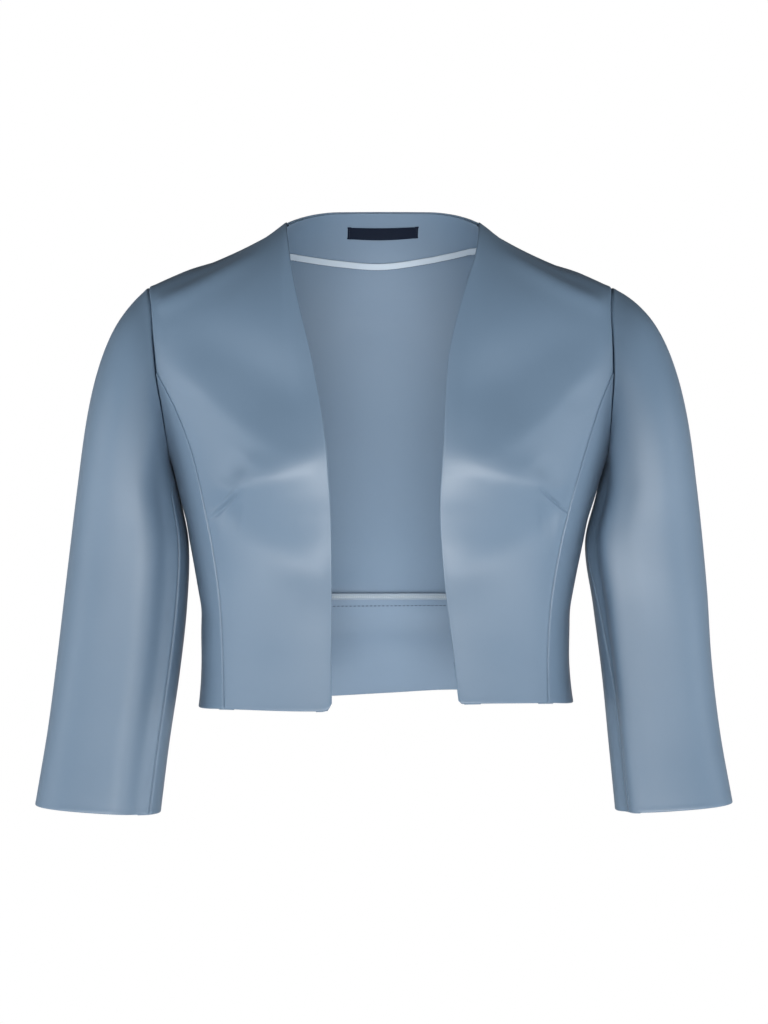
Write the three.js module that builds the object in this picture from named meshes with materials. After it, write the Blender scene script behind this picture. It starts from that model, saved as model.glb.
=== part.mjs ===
import * as THREE from "three";

// A short open satin jacket with three-quarter sleeves, filled out as it is worn.
// Millimetres, +Z up. The wearer faces -Y, so the wearer's left is +X.
// The origin lies midway between the shoulder seams, where the shoulders carry the jacket.
// Every panel is cut from one body surface, and its wall lies inside that surface.

// Cloth and seams
const WALL = 1.5; // thickness of the satin with its interlining
const FACING_WALL = 1; // thickness of a facing, a binding and the label
const SEAM_GAP = 0.3; // between two pieces that are sewn together
const SLEEVE_GAP = 0.4; // how far the sleeve head stands out from the armhole edge

// Section shape: exponents of the rounded sections, 2 being an ellipse
const GIRTH_ROUNDNESS = 2.3;
const SHOULDER_ROUNDNESS = 2.2;

// Height of the hem across the body, higher on the wearer's left
const HEM = [
  { x: -200, z: -400 },
  { x: -157, z: -398.6 },
  { x: -130, z: -396.8 },
  { x: -56, z: -396.3 },
  { x: 0, z: -393.6 },
  { x: 60, z: -390.4 },
  { x: 134, z: -392 },
  { x: 162, z: -395.2 },
  { x: 200, z: -396.5 },
];

// Armhole
const NOTCH_HEIGHT = -118; // where the panel seams run into the armhole
const UNDERARM_HEIGHT = -190;
const UNDERARM_CURVE = 2.2; // exponent of the U under the arm

// Front and back of the body: the way each faces, and the height where it is fullest
const FRONT = { toward: -1, fullest: -205, column: "front" };
const BACK = { toward: 1, fullest: -150, column: "back" };

// Body girth: half the width, and the depth before and behind the side line
const BODY_RINGS = [
  { z: -412, halfWidth: 161, front: 94, back: 85 },
  { z: -380, halfWidth: 157.5, front: 94, back: 84 },
  { z: -352, halfWidth: 156.5, front: 95, back: 84 },
  { z: -310, halfWidth: 158.5, front: 99, back: 87 },
  { z: -272, halfWidth: 164.5, front: 105, back: 91 },
  { z: -240, halfWidth: 171.5, front: 110, back: 95 },
  { z: -205, halfWidth: 180.5, front: 112, back: 98 },
  { z: -190, halfWidth: 185, front: 112, back: 99 },
  { z: -150, halfWidth: 199, front: 112, back: 100 },
  { z: -116, halfWidth: 212, front: 112, back: 100 },
  { z: -80, halfWidth: 222, front: 112, back: 100 },
  { z: -45, halfWidth: 230, front: 112, back: 100 },
  { z: 60, halfWidth: 245, front: 112, back: 100 },
];

// How far the body hangs to the wearer's left of the middle
const LEAN = [
  { z: -400, x: 1.8 },
  { z: -352, x: 1 },
  { z: -300, x: 1.4 },
  { z: -240, x: 2.4 },
  { z: -180, x: 3.6 },
  { z: -116, x: 0.5 },
  { z: -45, x: -3.2 },
  { z: 0, x: -1.5 },
  { z: 30, x: 0 },
];

// Height of the shoulder ridge across the body; inside the neck it is the cone that the collar stands on
const SHOULDER_RIDGE = [
  { x: -45, z: 44 },
  { x: 0, z: 56 },
  { x: 45, z: 44 },
  { x: 65, z: 29 },
  { x: 76, z: 17.5 },
  { x: 82, z: 10.5 },
  { x: 110, z: -6 },
  { x: 137, z: -19 },
  { x: 171, z: -33 },
  { x: 196, z: -44.6 },
  { x: 240, z: -68 },
];

// Front edges: distance from the body's middle line on the wearer's right and left
const FRONT_EDGE = [
  { z: -400, right: 45, left: 61 },
  { z: -380, right: 44.7, left: 59 },
  { z: -340, right: 44, left: 54.3 },
  { z: -290, right: 44.5, left: 47.8 },
  { z: -240, right: 46, left: 43.5 },
  { z: -202, right: 49.3, left: 43.7 },
  { z: -155, right: 53.7, left: 47.1 },
  { z: -110, right: 59.5, left: 52.5 },
  { z: -85, right: 64, left: 59 },
  { z: -50, right: 70.5, left: 70.5 },
  { z: -22, right: 76, left: 79 },
  { z: 0, right: 80.5, left: 81.5 },
  { z: 10.5, right: 82, left: 82 },
];
const CORNER_RADIUS = { right: 9, left: 3 }; // lower corner of each front

// Long seams of the body and the armhole above the notches, as distances from the middle line
const BODY_SEAMS = [
  { z: -400, front: 133.9, back: 97 },
  { z: -372, front: 134.1, back: 94 },
  { z: -342, front: 134.9, back: 93 },
  { z: -305, front: 137.7, back: 96 },
  { z: -265, front: 143.9, back: 103 },
  { z: -236, front: 150, back: 111 },
  { z: -211, front: 155.7, back: 121 },
  { z: -183, front: 163.6, back: 136 },
  { z: -148, front: 176.2, back: 162 },
  { z: -118, front: 190.4, back: 192 },
];
const ARMHOLE = [
  { z: -118, front: 190.4, back: 192 },
  { z: -90, front: 191.6, back: 193.5 },
  { z: -64, front: 192.8, back: 194.5 },
  { z: -44.6, front: 196, back: 196 },
];

// Back neck edge, and the lower edge of the neck facing's binding
const NECK_HALF_WIDTH = 82;
const NECK_EDGE = [
  { x: -40, z: 25 },
  { x: 0, z: 26 },
  { x: 40, z: 25 },
  { x: 51, z: 23.8 },
  { x: 65, z: 20.3 },
  { x: 76, z: 15.3 },
  { x: 82, z: 10.5 },
];
const NECK_FACING = [
  { x: -40, z: -18.5 },
  { x: 0, z: -22.3 },
  { x: 40, z: -18.5 },
  { x: 82, z: -12 },
  { x: 100, z: -9.5 },
  { x: 120, z: -13 },
  { x: 155, z: -38 },
  { x: 196, z: -66 },
];
const BINDING_WIDTH = 6.8;
const HEM_FACING_TOP = -307; // upper edge of the hem facing's binding

// Bust, and the soft troughs of the front: each runs from one point to another, seen from the front
const BUST = { x: 92, z: -222, rise: 9, across: 52, above: 62, below: 95 };
const TROUGHS = [
  { name: "shoulder", fromX: 96, fromZ: -8, toX: 182, toZ: -48, width: 11, depth: 2.6 },
  { name: "chest", fromX: 168, fromZ: -112, toX: 88, toZ: -168, width: 30, depth: 2.2 },
  { name: "dart", fromX: 144, fromZ: -236, toX: 118, toZ: -214, width: 12, depth: 1.8 },
];

// Sleeves from the upper arm to the cuff: outer and inner side, middle and half depth
const SLEEVE_RINGS = {
  right: [
    { along: 0, outerX: 257.8, outerZ: -200, innerX: 173.4, innerZ: -222, y: 3, halfDepth: 59 },
    { along: 0.16, outerX: 262.8, outerZ: -240, innerX: 166, innerZ: -262, y: 1, halfDepth: 57 },
    { along: 0.37, outerX: 269.8, outerZ: -300, innerX: 167.2, innerZ: -315, y: -4, halfDepth: 52 },
    { along: 0.58, outerX: 276.2, outerZ: -360, innerX: 173, innerZ: -372, y: -11, halfDepth: 47 },
    { along: 0.79, outerX: 283.2, outerZ: -420, innerX: 181, innerZ: -430, y: -20, halfDepth: 43 },
    { along: 1, outerX: 292, outerZ: -479, innerX: 187.4, innerZ: -486, y: -30, halfDepth: 40 },
  ],
  left: [
    { along: 0, outerX: 263.2, outerZ: -200, innerX: 180.2, innerZ: -222, y: 3, halfDepth: 59 },
    { along: 0.16, outerX: 267.8, outerZ: -240, innerX: 171, innerZ: -262, y: 1, halfDepth: 57 },
    { along: 0.37, outerX: 273.4, outerZ: -300, innerX: 177.6, innerZ: -315, y: -4, halfDepth: 52 },
    { along: 0.58, outerX: 276.6, outerZ: -360, innerX: 184.4, innerZ: -372, y: -11, halfDepth: 47 },
    { along: 0.79, outerX: 282.6, outerZ: -420, innerX: 189.4, innerZ: -430, y: -20, halfDepth: 43 },
    { along: 1, outerX: 291.8, outerZ: -477, innerX: 194, innerZ: -484, y: -30, halfDepth: 40 },
  ],
};
// The way the cloth leaves the armhole at the shoulder point and under the arm
const CAP_TOP = { right: { out: 0.78, down: 0.62 }, left: { out: 0.98, down: 0.42 } };
const CAP_UNDER = { out: -0.3, down: 0.95 };
const CAP_FORWARD = 0.45; // share that turns to the front or back at the armhole's sides
const ARMHOLE_HALF_DEPTH = 52;

// Label in the middle of the neck facing; its height is a share of the way up to the neck edge
const LABEL = { halfWidth: 31, bottom: 0.43, top: 0.675 };

// Mesh: rows and columns of each piece. Front and back have as many rows below the notch, and above it.
const FRONT_ROWS = { toFullest: 10, toNotch: 5, toShoulder: 8 };
const BACK_ROWS = { toHemBinding: 4, toFullest: 6, toNotch: 4, toNeckBinding: 4 };
const NOTCH_ROW = 15;
const HEM_BINDING_ROW = 4; // lower edge of each binding, as a row of the back
const NECK_BINDING_ROW = 19;
const LABEL_ROW = 21;
const COLUMNS = { front: 11, side: 12, shoulder: 6, neck: 3, label: 4 };
const FACING_START = 4; // column of the back where the neck facing starts
const SLEEVE_ROWS = { cap: 8, arm: 12 };
const EDGE_CROWDING = 1.3; // crowds the columns towards the front edge
const PROBE = 1e-3; // step that measures a direction on the surface

const RIGHT = { name: "right", sign: -1 };
const LEFT = { name: "left", sign: 1 };

const mix = (a, b, t) => a + (b - a) * t;
const steps = (from, to, count) => Array.from({ length: count }, (_, i) => mix(from, to, i / count));
const steps01 = (count) => [...steps(0, 1, count), 1];

// A column of a table at a value of its key, smooth from row to row.
function read(table, key, at, column) {
  const last = table.length - 1;
  let i = 0;
  while (i < last - 1 && at > table[i + 1][key]) i++;
  const slope = (j) => {
    const before = table[Math.max(j - 1, 0)];
    const after = table[Math.min(j + 1, last)];
    return (after[column] - before[column]) / (after[key] - before[key]);
  };
  const a = table[i];
  const b = table[i + 1];
  const span = b[key] - a[key];
  const t = (at - a[key]) / span;
  if (t < 0) return a[column] + slope(0) * (at - a[key]);
  if (t > 1) return b[column] + slope(last) * (at - b[key]);
  const [t2, t3] = [t * t, t * t * t];
  return (
    (2 * t3 - 3 * t2 + 1) * a[column] +
    (t3 - 2 * t2 + t) * span * slope(i) +
    (3 * t2 - 2 * t3) * b[column] +
    (t3 - t2) * span * slope(i + 1)
  );
}

const halfWidth = (z) => read(BODY_RINGS, "z", z, "halfWidth");
const ridge = (x) => read(SHOULDER_RIDGE, "x", Math.abs(x), "z");
const hemHeight = (x) => read(HEM, "x", x, "z");

// How deep the body is at a distance from its middle line, as a share of the full depth.
function acrossShare(x, z) {
  const share = Math.min(Math.abs(x) / halfWidth(z), 1);
  return (1 - share ** GIRTH_ROUNDNESS) ** (1 / GIRTH_ROUNDNESS);
}

// How far the bust stands out.
function bustRise(x, z) {
  const tall = z > BUST.z ? BUST.above : BUST.below;
  return BUST.rise * Math.exp(-(((Math.abs(x) - BUST.x) / BUST.across) ** 2) - ((z - BUST.z) / tall) ** 2);
}

// How deep the troughs of the front are.
function troughDepth(x, z) {
  let depth = 0;
  for (const fold of TROUGHS) {
    const run = new THREE.Vector2(fold.toX - fold.fromX, fold.toZ - fold.fromZ);
    const away = new THREE.Vector2(Math.abs(x) - fold.fromX, z - fold.fromZ);
    const along = away.dot(run) / run.lengthSq();
    const beside = away.cross(run) / run.length();
    const fade = Math.exp(-((2 * along - 1) ** 4));
    depth += fold.depth * fade * Math.exp(-((beside / fold.width) ** 2));
  }
  return depth;
}

// Height at a level: 0 is the hem, 1 the fullest height and 2 the shoulder ridge.
function levelHeight(face, x, level, hemRise = 0) {
  if (level < 1) return mix(hemHeight(x) + hemRise, face.fullest, level);
  const rise = Math.sin(((level - 1) * Math.PI) / 2) ** (2 / SHOULDER_ROUNDNESS);
  return face.fullest + rise * (ridge(x) - face.fullest);
}

// The level of a height, for a place above the fullest height.
function levelOf(face, x, z) {
  const rise = Math.min((z - face.fullest) / (ridge(x) - face.fullest), 1);
  return 1 + (2 / Math.PI) * Math.asin(rise ** (SHOULDER_ROUNDNESS / 2));
}

// A point of the front or back at a distance from the middle line and a level.
function bodyPoint(face, x, level, hemRise = 0) {
  const z = levelHeight(face, x, level, hemRise);
  let depth = read(BODY_RINGS, "z", Math.min(z, face.fullest), face.column);
  if (level > 1) {
    const fall = Math.cos(((level - 1) * Math.PI) / 2);
    depth *= Math.sign(fall) * Math.abs(fall) ** (2 / SHOULDER_ROUNDNESS);
  }
  const bust = face === FRONT ? bustRise(x, z) : 0;
  return new THREE.Vector3(x + read(LEAN, "z", z, "x"), face.toward * (depth * acrossShare(x, z) + bust), z);
}

// A point of the body's side at an angle from the front and a height.
function sidePoint(side, angle, z) {
  const face = angle < Math.PI / 2 ? FRONT : BACK;
  const x = halfWidth(z) * Math.sin(angle) ** (2 / GIRTH_ROUNDNESS);
  const share = Math.abs(Math.cos(angle)) ** (2 / GIRTH_ROUNDNESS);
  let depth = read(BODY_RINGS, "z", Math.min(z, face.fullest), face.column);
  if (z > face.fullest) {
    const rise = (z - face.fullest) / (ridge(x) - face.fullest);
    depth *= (1 - rise ** SHOULDER_ROUNDNESS) ** (1 / SHOULDER_ROUNDNESS);
  }
  const bust = face === FRONT ? bustRise(x, z) : 0;
  const signedX = side.sign * x + read(LEAN, "z", z, "x");
  return new THREE.Vector3(signedX, face.toward * (depth * share + bust), z);
}
const sideAngle = (x, z) => Math.asin(Math.min(x / halfWidth(z), 1) ** (GIRTH_ROUNDNESS / 2));

// The outward normal of a surface at (p, q), measured by small steps.
function normalOf(surface, p, q, outwardFrom) {
  const acrossStep = surface(p + PROBE, q).sub(surface(p - PROBE, q));
  const upStep = surface(p, q + PROBE).sub(surface(p, q - PROBE));
  const normal = acrossStep.cross(upStep).normalize();
  const outward = surface(p, q).sub(outwardFrom);
  return normal.dot(outward) < 0 ? normal.negate() : normal;
}

const BODY_MIDDLE = new THREE.Vector3(0, 0, -230);

// A place in the cloth: the point on the outer face and the outward normal.
function bodyPlace(face, x, level, hemRise = 0) {
  const surface = (p, q) => bodyPoint(face, p, q, hemRise);
  const point = surface(x, level);
  const normal = normalOf(surface, x, level, BODY_MIDDLE);
  if (face === FRONT) point.addScaledVector(normal, -troughDepth(x, point.z));
  return { point, normal };
}

function sidePlace(side, angle, z) {
  const surface = (p, q) => sidePoint(side, p, q);
  const point = surface(angle, z);
  const normal = normalOf(surface, angle, z, BODY_MIDDLE);
  if (angle < Math.PI / 2) {
    const x = halfWidth(z) * Math.sin(angle) ** (2 / GIRTH_ROUNDNESS);
    point.addScaledVector(normal, -troughDepth(x, z));
  }
  return { point, normal };
}

// Moves a border row or column back from its seam, within the cloth.
function drawBack(border, inner) {
  border.forEach(({ point }, i) => point.add(inner[i].point.clone().sub(point).setLength(SEAM_GAP / 2)));
}
const columnOf = (grid, i) => grid.map((row) => row[i]);

// A closed solid between a grid's outer face, sunk by one depth, and the same grid sunk by another.
function wallSolid(grid, sunk = 0, thickness = WALL, tube = false) {
  const rows = grid.length;
  const columns = grid[0].length;
  const positions = [];
  for (const depth of [sunk, sunk + thickness]) {
    for (const place of grid.flat()) {
      const at = place.point.clone().addScaledVector(place.wall ?? place.normal, -depth);
      positions.push(at.x, at.y, at.z);
    }
  }
  const outer = (r, c) => r * columns + (c % columns);
  const inner = (r, c) => rows * columns + outer(r, c);
  const faces = [];
  const quad = (a, b, c, d) => faces.push(a, b, c, a, c, d);
  const lastColumn = tube ? columns : columns - 1;
  for (let r = 0; r < rows - 1; r++) {
    for (let c = 0; c < lastColumn; c++) {
      quad(outer(r, c), outer(r, c + 1), outer(r + 1, c + 1), outer(r + 1, c));
      quad(inner(r, c), inner(r + 1, c), inner(r + 1, c + 1), inner(r, c + 1));
    }
  }
  for (let c = 0; c < lastColumn; c++) {
    quad(outer(0, c), inner(0, c), inner(0, c + 1), outer(0, c + 1));
    quad(outer(rows - 1, c), outer(rows - 1, c + 1), inner(rows - 1, c + 1), inner(rows - 1, c));
  }
  for (let r = 0; r < rows - 1 && !tube; r++) {
    quad(outer(r, 0), outer(r + 1, 0), inner(r + 1, 0), inner(r, 0));
    quad(outer(r, columns - 1), inner(r, columns - 1), inner(r + 1, columns - 1), outer(r + 1, columns - 1));
  }
  const at = (i) => new THREE.Vector3().fromArray(positions, 3 * i);
  let volume = 0;
  for (let i = 0; i < faces.length; i += 3) {
    volume += at(faces[i]).dot(at(faces[i + 1]).cross(at(faces[i + 2])));
  }
  if (volume < 0) faces.reverse();
  const geometry = new THREE.BufferGeometry();
  geometry.setAttribute("position", new THREE.Float32BufferAttribute(positions, 3));
  geometry.setIndex(faces);
  geometry.computeVertexNormals();
  return geometry;
}

const notchLevel = (face) => levelOf(face, read(ARMHOLE, "z", NOTCH_HEIGHT, face.column), NOTCH_HEIGHT);

// Levels of the front's rows
function frontLevels() {
  const notch = notchLevel(FRONT);
  return [
    ...steps(0, 1, FRONT_ROWS.toFullest),
    ...steps(1, notch, FRONT_ROWS.toNotch),
    ...steps(notch, 2, FRONT_ROWS.toShoulder),
    2,
  ];
}

// The neck edge lowers the back's top row between the neck points.
function backTopLevel(x) {
  return x >= NECK_HALF_WIDTH ? 2 : levelOf(BACK, x, read(NECK_EDGE, "x", x, "z"));
}

// Levels of the back's rows down one column; some rows follow the bindings and the label.
function backLevels(share) {
  const x = Math.abs(share) * ARMHOLE.at(-1).back;
  const hem = hemHeight(share * read(BODY_SEAMS, "z", HEM_FACING_TOP, "back"));
  const belowFullest = (z) => (z - hem) / (BACK.fullest - hem);
  const hemBinding = belowFullest(HEM_FACING_TOP - BINDING_WIDTH);
  const notch = notchLevel(BACK);
  const neckBinding = levelOf(BACK, x, read(NECK_FACING, "x", x, "z"));
  const cloth = bodyPoint(BACK, x, neckBinding).distanceTo(bodyPoint(BACK, x, neckBinding + PROBE));
  const bound = neckBinding + (PROBE * BINDING_WIDTH) / cloth;
  const top = backTopLevel(x);
  return [
    ...steps(0, hemBinding, BACK_ROWS.toHemBinding),
    hemBinding,
    ...steps(belowFullest(HEM_FACING_TOP), 1, BACK_ROWS.toFullest),
    ...steps(1, notch, BACK_ROWS.toNotch),
    ...steps(notch, neckBinding, BACK_ROWS.toNeckBinding),
    neckBinding,
    bound,
    mix(bound, top, LABEL.bottom),
    mix(bound, top, LABEL.top),
    top,
  ];
}
const seamLevels = (face, side) => (face === FRONT ? frontLevels() : backLevels(side.sign));

// The seam line that bounds a front or back panel at a height.
const seamX = (face, z) => read(z < NOTCH_HEIGHT ? BODY_SEAMS : ARMHOLE, "z", z, face.column);

// Distance from the middle line at which a level meets a line that is given by height.
function meet(face, sign, level, lineX) {
  let x = lineX(face.fullest);
  for (let i = 0; i < 12; i++) x = lineX(levelHeight(face, sign * x, level));
  return x;
}
const seamPoint = (face, sign, level) => meet(face, sign, level, (z) => seamX(face, z));

function frontGrid(side) {
  const edgeX = (z) => read(FRONT_EDGE, "z", z, side.name);
  const radius = CORNER_RADIUS[side.name];
  const cornerRise = (fromEdge) => radius - Math.sqrt(radius ** 2 - Math.max(radius - fromEdge, 0) ** 2);
  return frontLevels().map((level) => {
    const edge = meet(FRONT, side.sign, level, edgeX);
    return steps01(COLUMNS.front).map((t) => {
      const share = t ** EDGE_CROWDING;
      const x = meet(FRONT, side.sign, level, (z) => mix(edgeX(z), seamX(FRONT, z), share));
      return bodyPlace(FRONT, side.sign * x, level, cornerRise(Math.max(x - edge, 0)));
    });
  });
}

function backGrid() {
  const reach = ARMHOLE.at(-1).back;
  const [neck, label] = [NECK_HALF_WIDTH / reach, LABEL.halfWidth / reach];
  const shares = [
    ...steps(-1, -neck, COLUMNS.shoulder),
    ...steps(-neck, -label, COLUMNS.neck),
    ...steps(-label, label, COLUMNS.label),
    ...steps(label, neck, COLUMNS.neck),
    ...steps(neck, 1, COLUMNS.shoulder),
    1,
  ];
  const columns = shares.map((share) => {
    const sign = Math.sign(share) || 1;
    return backLevels(share).map((level) => bodyPlace(BACK, share * seamPoint(BACK, sign, level), level));
  });
  return columns[0].map((_, row) => columns.map((column) => column[row]));
}

// The side panel fills the patch between the two long seams, the hem and the underarm curve.
function sideGrid(side) {
  const border = (face) =>
    seamLevels(face, side)
      .slice(0, NOTCH_ROW + 1)
      .map((level) => {
        const x = seamPoint(face, side.sign, level);
        const z = levelHeight(face, side.sign * x, level);
        const angle = sideAngle(x, z);
        return { angle: face === FRONT ? angle : Math.PI - angle, z };
      });
  const front = border(FRONT);
  const back = border(BACK);
  const last = NOTCH_ROW;
  const underarm = (u) => {
    const angle = mix(front[last].angle, back[last].angle, u);
    const notch = angle < Math.PI / 2 ? front[last] : back[last];
    const share = Math.abs((angle - Math.PI / 2) / (notch.angle - Math.PI / 2));
    return { angle, z: mix(UNDERARM_HEIGHT, notch.z, share ** UNDERARM_CURVE) };
  };
  const hem = (u) => {
    const angle = mix(front[0].angle, back[0].angle, u);
    const x = halfWidth(hemHeight(0)) * Math.sin(angle) ** (2 / GIRTH_ROUNDNESS);
    return { angle, z: hemHeight(side.sign * x) };
  };
  return front.map((_, row) => {
    const v = row / last;
    return steps01(COLUMNS.side).map((u) => {
      const fill = (key) =>
        mix(front[row][key], back[row][key], u) +
        mix(hem(u)[key], underarm(u)[key], v) -
        mix(mix(front[0][key], back[0][key], u), mix(front[last][key], back[last][key], u), v);
      return sidePlace(side, fill("angle"), fill("z"));
    });
  });
}

// The armhole from the shoulder point down the front, round the underarm and up the back.
function armholeLoop(side) {
  const upper = (face) =>
    seamLevels(face, side)
      .slice(NOTCH_ROW)
      .map((level) => bodyPlace(face, side.sign * seamPoint(face, side.sign, level), level));
  const under = sideGrid(side)[NOTCH_ROW];
  return [...upper(FRONT).reverse(), ...under.slice(1, -1), ...upper(BACK).slice(0, -1)];
}

// A point of the sleeve below its cap, at a share of its length and an angle from its outer side.
function armPoint(side, along, turn) {
  const at = (column) => read(SLEEVE_RINGS[side.name], "along", along, column);
  const inward = (1 - Math.cos(turn)) / 2;
  return new THREE.Vector3(
    side.sign * mix(at("outerX"), at("innerX"), inward),
    at("y") - Math.sin(turn) * at("halfDepth"),
    mix(at("outerZ"), at("innerZ"), inward),
  );
}

function sleeveGrid(side) {
  const tip = ridge(ARMHOLE.at(-1).front);
  const middle = (tip + UNDERARM_HEIGHT) / 2;
  const loop = armholeLoop(side).map(({ point, normal }) => {
    const turn = Math.atan2(-point.y / ARMHOLE_HALF_DEPTH, (point.z - middle) / (tip - middle));
    const head = point.clone().add(new THREE.Vector3(side.sign * SLEEVE_GAP, 0, 0));
    return { head, seamNormal: normal, turn };
  });
  const capPoint = ({ head, turn }, s) => {
    const end = armPoint(side, 0, turn);
    const reach = end.distanceTo(head);
    const top = (1 + Math.cos(turn)) / 2;
    const leave = new THREE.Vector3(
      side.sign * mix(CAP_UNDER.out, CAP_TOP[side.name].out, top ** 0.7),
      -Math.sin(turn) * CAP_FORWARD,
      -mix(CAP_UNDER.down, CAP_TOP[side.name].down, top),
    ).setLength(reach);
    const arrive = armPoint(side, PROBE, turn).sub(end).setLength(reach);
    const [s2, s3] = [s * s, s * s * s];
    return new THREE.Vector3()
      .addScaledVector(head, 2 * s3 - 3 * s2 + 1)
      .addScaledVector(leave, s3 - 2 * s2 + s)
      .addScaledVector(end, 3 * s2 - 2 * s3)
      .addScaledVector(arrive, s3 - s2);
  };
  const points = [
    ...steps(0, 1, SLEEVE_ROWS.cap).map((s) => loop.map((at) => capPoint(at, s))),
    ...steps01(SLEEVE_ROWS.arm).map((along) => loop.map(({ turn }) => armPoint(side, along, turn))),
  ];
  const count = loop.length;
  return points.map((ring, r) =>
    ring.map((point, c) => {
      const round = ring[(c + 1) % count].clone().sub(ring[(c + count - 1) % count]);
      const down = points[Math.min(r + 1, points.length - 1)][c].clone().sub(points[Math.max(r - 1, 0)][c]);
      const normal = round.cross(down).normalize().multiplyScalar(side.sign);
      if (r > 0) return { point, normal };
      const top = THREE.MathUtils.smoothstep(Math.cos(loop[c].turn), -0.6, 0.4);
      return { point, normal, wall: normal.clone().lerp(loop[c].seamNormal, top).normalize() };
    }),
  );
}

// A part of a grid between two rows and two columns, drawn back all round.
function cutFrom(grid, fromRow, toRow, fromColumn, toColumn) {
  const part = grid
    .slice(fromRow, toRow + 1)
    .map((row) => row.slice(fromColumn, toColumn + 1).map((at) => ({ ...at, point: at.point.clone() })));
  for (const [edge, inner] of [[0, 1], [part.length - 1, part.length - 2]]) drawBack(part[edge], part[inner]);
  const last = part[0].length - 1;
  for (const [edge, inner] of [[0, 1], [last, last - 1]]) drawBack(columnOf(part, edge), columnOf(part, inner));
  return part;
}

// Materials
const satin = (color, roughness = 0.42) => new THREE.MeshStandardMaterial({ color, roughness, metalness: 0 });
const SATIN = satin(0x7c93ab);
const REVERSE = satin(0x8096ae, 0.5);
const BINDING = satin(0xaebfce, 0.3);
const WOVEN = satin(0x202a3a, 0.7);

const jacket = new THREE.Group();
function addPiece(name, geometry, material) {
  const mesh = new THREE.Mesh(geometry, material);
  mesh.name = name;
  jacket.add(mesh);
}

const belowNotch = (grid, column) => columnOf(grid, column).slice(0, NOTCH_ROW + 1);

for (const side of [RIGHT, LEFT]) {
  const front = frontGrid(side);
  drawBack(belowNotch(front, COLUMNS.front), belowNotch(front, COLUMNS.front - 1));
  drawBack(front.at(-1), front.at(-2));
  addPiece(`front_${side.name}`, wallSolid(front), SATIN);

  const panel = sideGrid(side);
  drawBack(columnOf(panel, 0), columnOf(panel, 1));
  drawBack(columnOf(panel, COLUMNS.side), columnOf(panel, COLUMNS.side - 1));
  addPiece(`side_${side.name}`, wallSolid(panel), SATIN);

  addPiece(`sleeve_${side.name}`, wallSolid(sleeveGrid(side), 0, WALL, true), SATIN);
}

const back = backGrid();
const lastColumn = back[0].length - 1;
const underBack = (...bounds) => cutFrom(back, ...bounds);
const neckFacing = underBack(NECK_BINDING_ROW + 1, back.length - 1, FACING_START, lastColumn - FACING_START);
const neckBinding = underBack(NECK_BINDING_ROW, NECK_BINDING_ROW + 1, FACING_START, lastColumn - FACING_START);
const hemFacing = underBack(0, HEM_BINDING_ROW, 0, lastColumn);
const hemBinding = underBack(HEM_BINDING_ROW, HEM_BINDING_ROW + 1, 0, lastColumn);
const labelStart = COLUMNS.shoulder + COLUMNS.neck;
const label = underBack(LABEL_ROW, LABEL_ROW + 1, labelStart, labelStart + COLUMNS.label);
const lyingOn = (layers) => WALL + SEAM_GAP + layers * (FACING_WALL + SEAM_GAP);
addPiece("neck_facing", wallSolid(neckFacing, lyingOn(0), FACING_WALL), REVERSE);
addPiece("neck_binding", wallSolid(neckBinding, lyingOn(0), FACING_WALL), BINDING);
addPiece("hem_facing", wallSolid(hemFacing, lyingOn(0), FACING_WALL), REVERSE);
addPiece("hem_binding", wallSolid(hemBinding, lyingOn(0), FACING_WALL), BINDING);
addPiece("neck_label", wallSolid(label, lyingOn(1), FACING_WALL), WOVEN);

drawBack(belowNotch(back, 0), belowNotch(back, 1));
drawBack(belowNotch(back, lastColumn), belowNotch(back, lastColumn - 1));
drawBack(back.at(-1).slice(0, COLUMNS.shoulder + 1), back.at(-2).slice(0, COLUMNS.shoulder + 1));
drawBack(back.at(-1).slice(-COLUMNS.shoulder - 1), back.at(-2).slice(-COLUMNS.shoulder - 1));
addPiece("back", wallSolid(back), SATIN);

export default jacket;
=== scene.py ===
"""Finish of the bolero jacket: its cloth, seams, bindings, label and stitching, with light and camera.

Sizes are millimetres until a piece is made; the wearer faces -Y and the wearer's left is +X.
"""
import logging
import math
from abc import ABC, abstractmethod
from dataclasses import dataclass, field
from enum import Enum
from typing import Any, Callable, Optional

import bmesh
import bpy
import numpy as np
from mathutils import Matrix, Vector


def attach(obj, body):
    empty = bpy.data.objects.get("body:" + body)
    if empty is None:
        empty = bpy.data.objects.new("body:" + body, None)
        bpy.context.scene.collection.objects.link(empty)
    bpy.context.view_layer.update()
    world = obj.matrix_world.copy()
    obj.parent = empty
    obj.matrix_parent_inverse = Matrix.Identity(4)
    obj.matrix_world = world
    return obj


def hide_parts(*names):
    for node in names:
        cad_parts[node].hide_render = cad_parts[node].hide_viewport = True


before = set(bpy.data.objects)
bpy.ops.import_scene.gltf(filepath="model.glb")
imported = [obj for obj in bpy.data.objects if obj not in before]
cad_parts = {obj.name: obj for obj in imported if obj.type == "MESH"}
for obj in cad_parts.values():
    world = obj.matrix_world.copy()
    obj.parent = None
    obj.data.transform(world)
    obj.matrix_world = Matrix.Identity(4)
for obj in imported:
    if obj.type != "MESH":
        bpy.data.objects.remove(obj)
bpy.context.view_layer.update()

LOG = logging.getLogger("bolero_jacket")
MM = 0.001
PROBE = 1e-3  # step that measures a direction on a surface
Array = np.ndarray


# Tables and the body form


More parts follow.
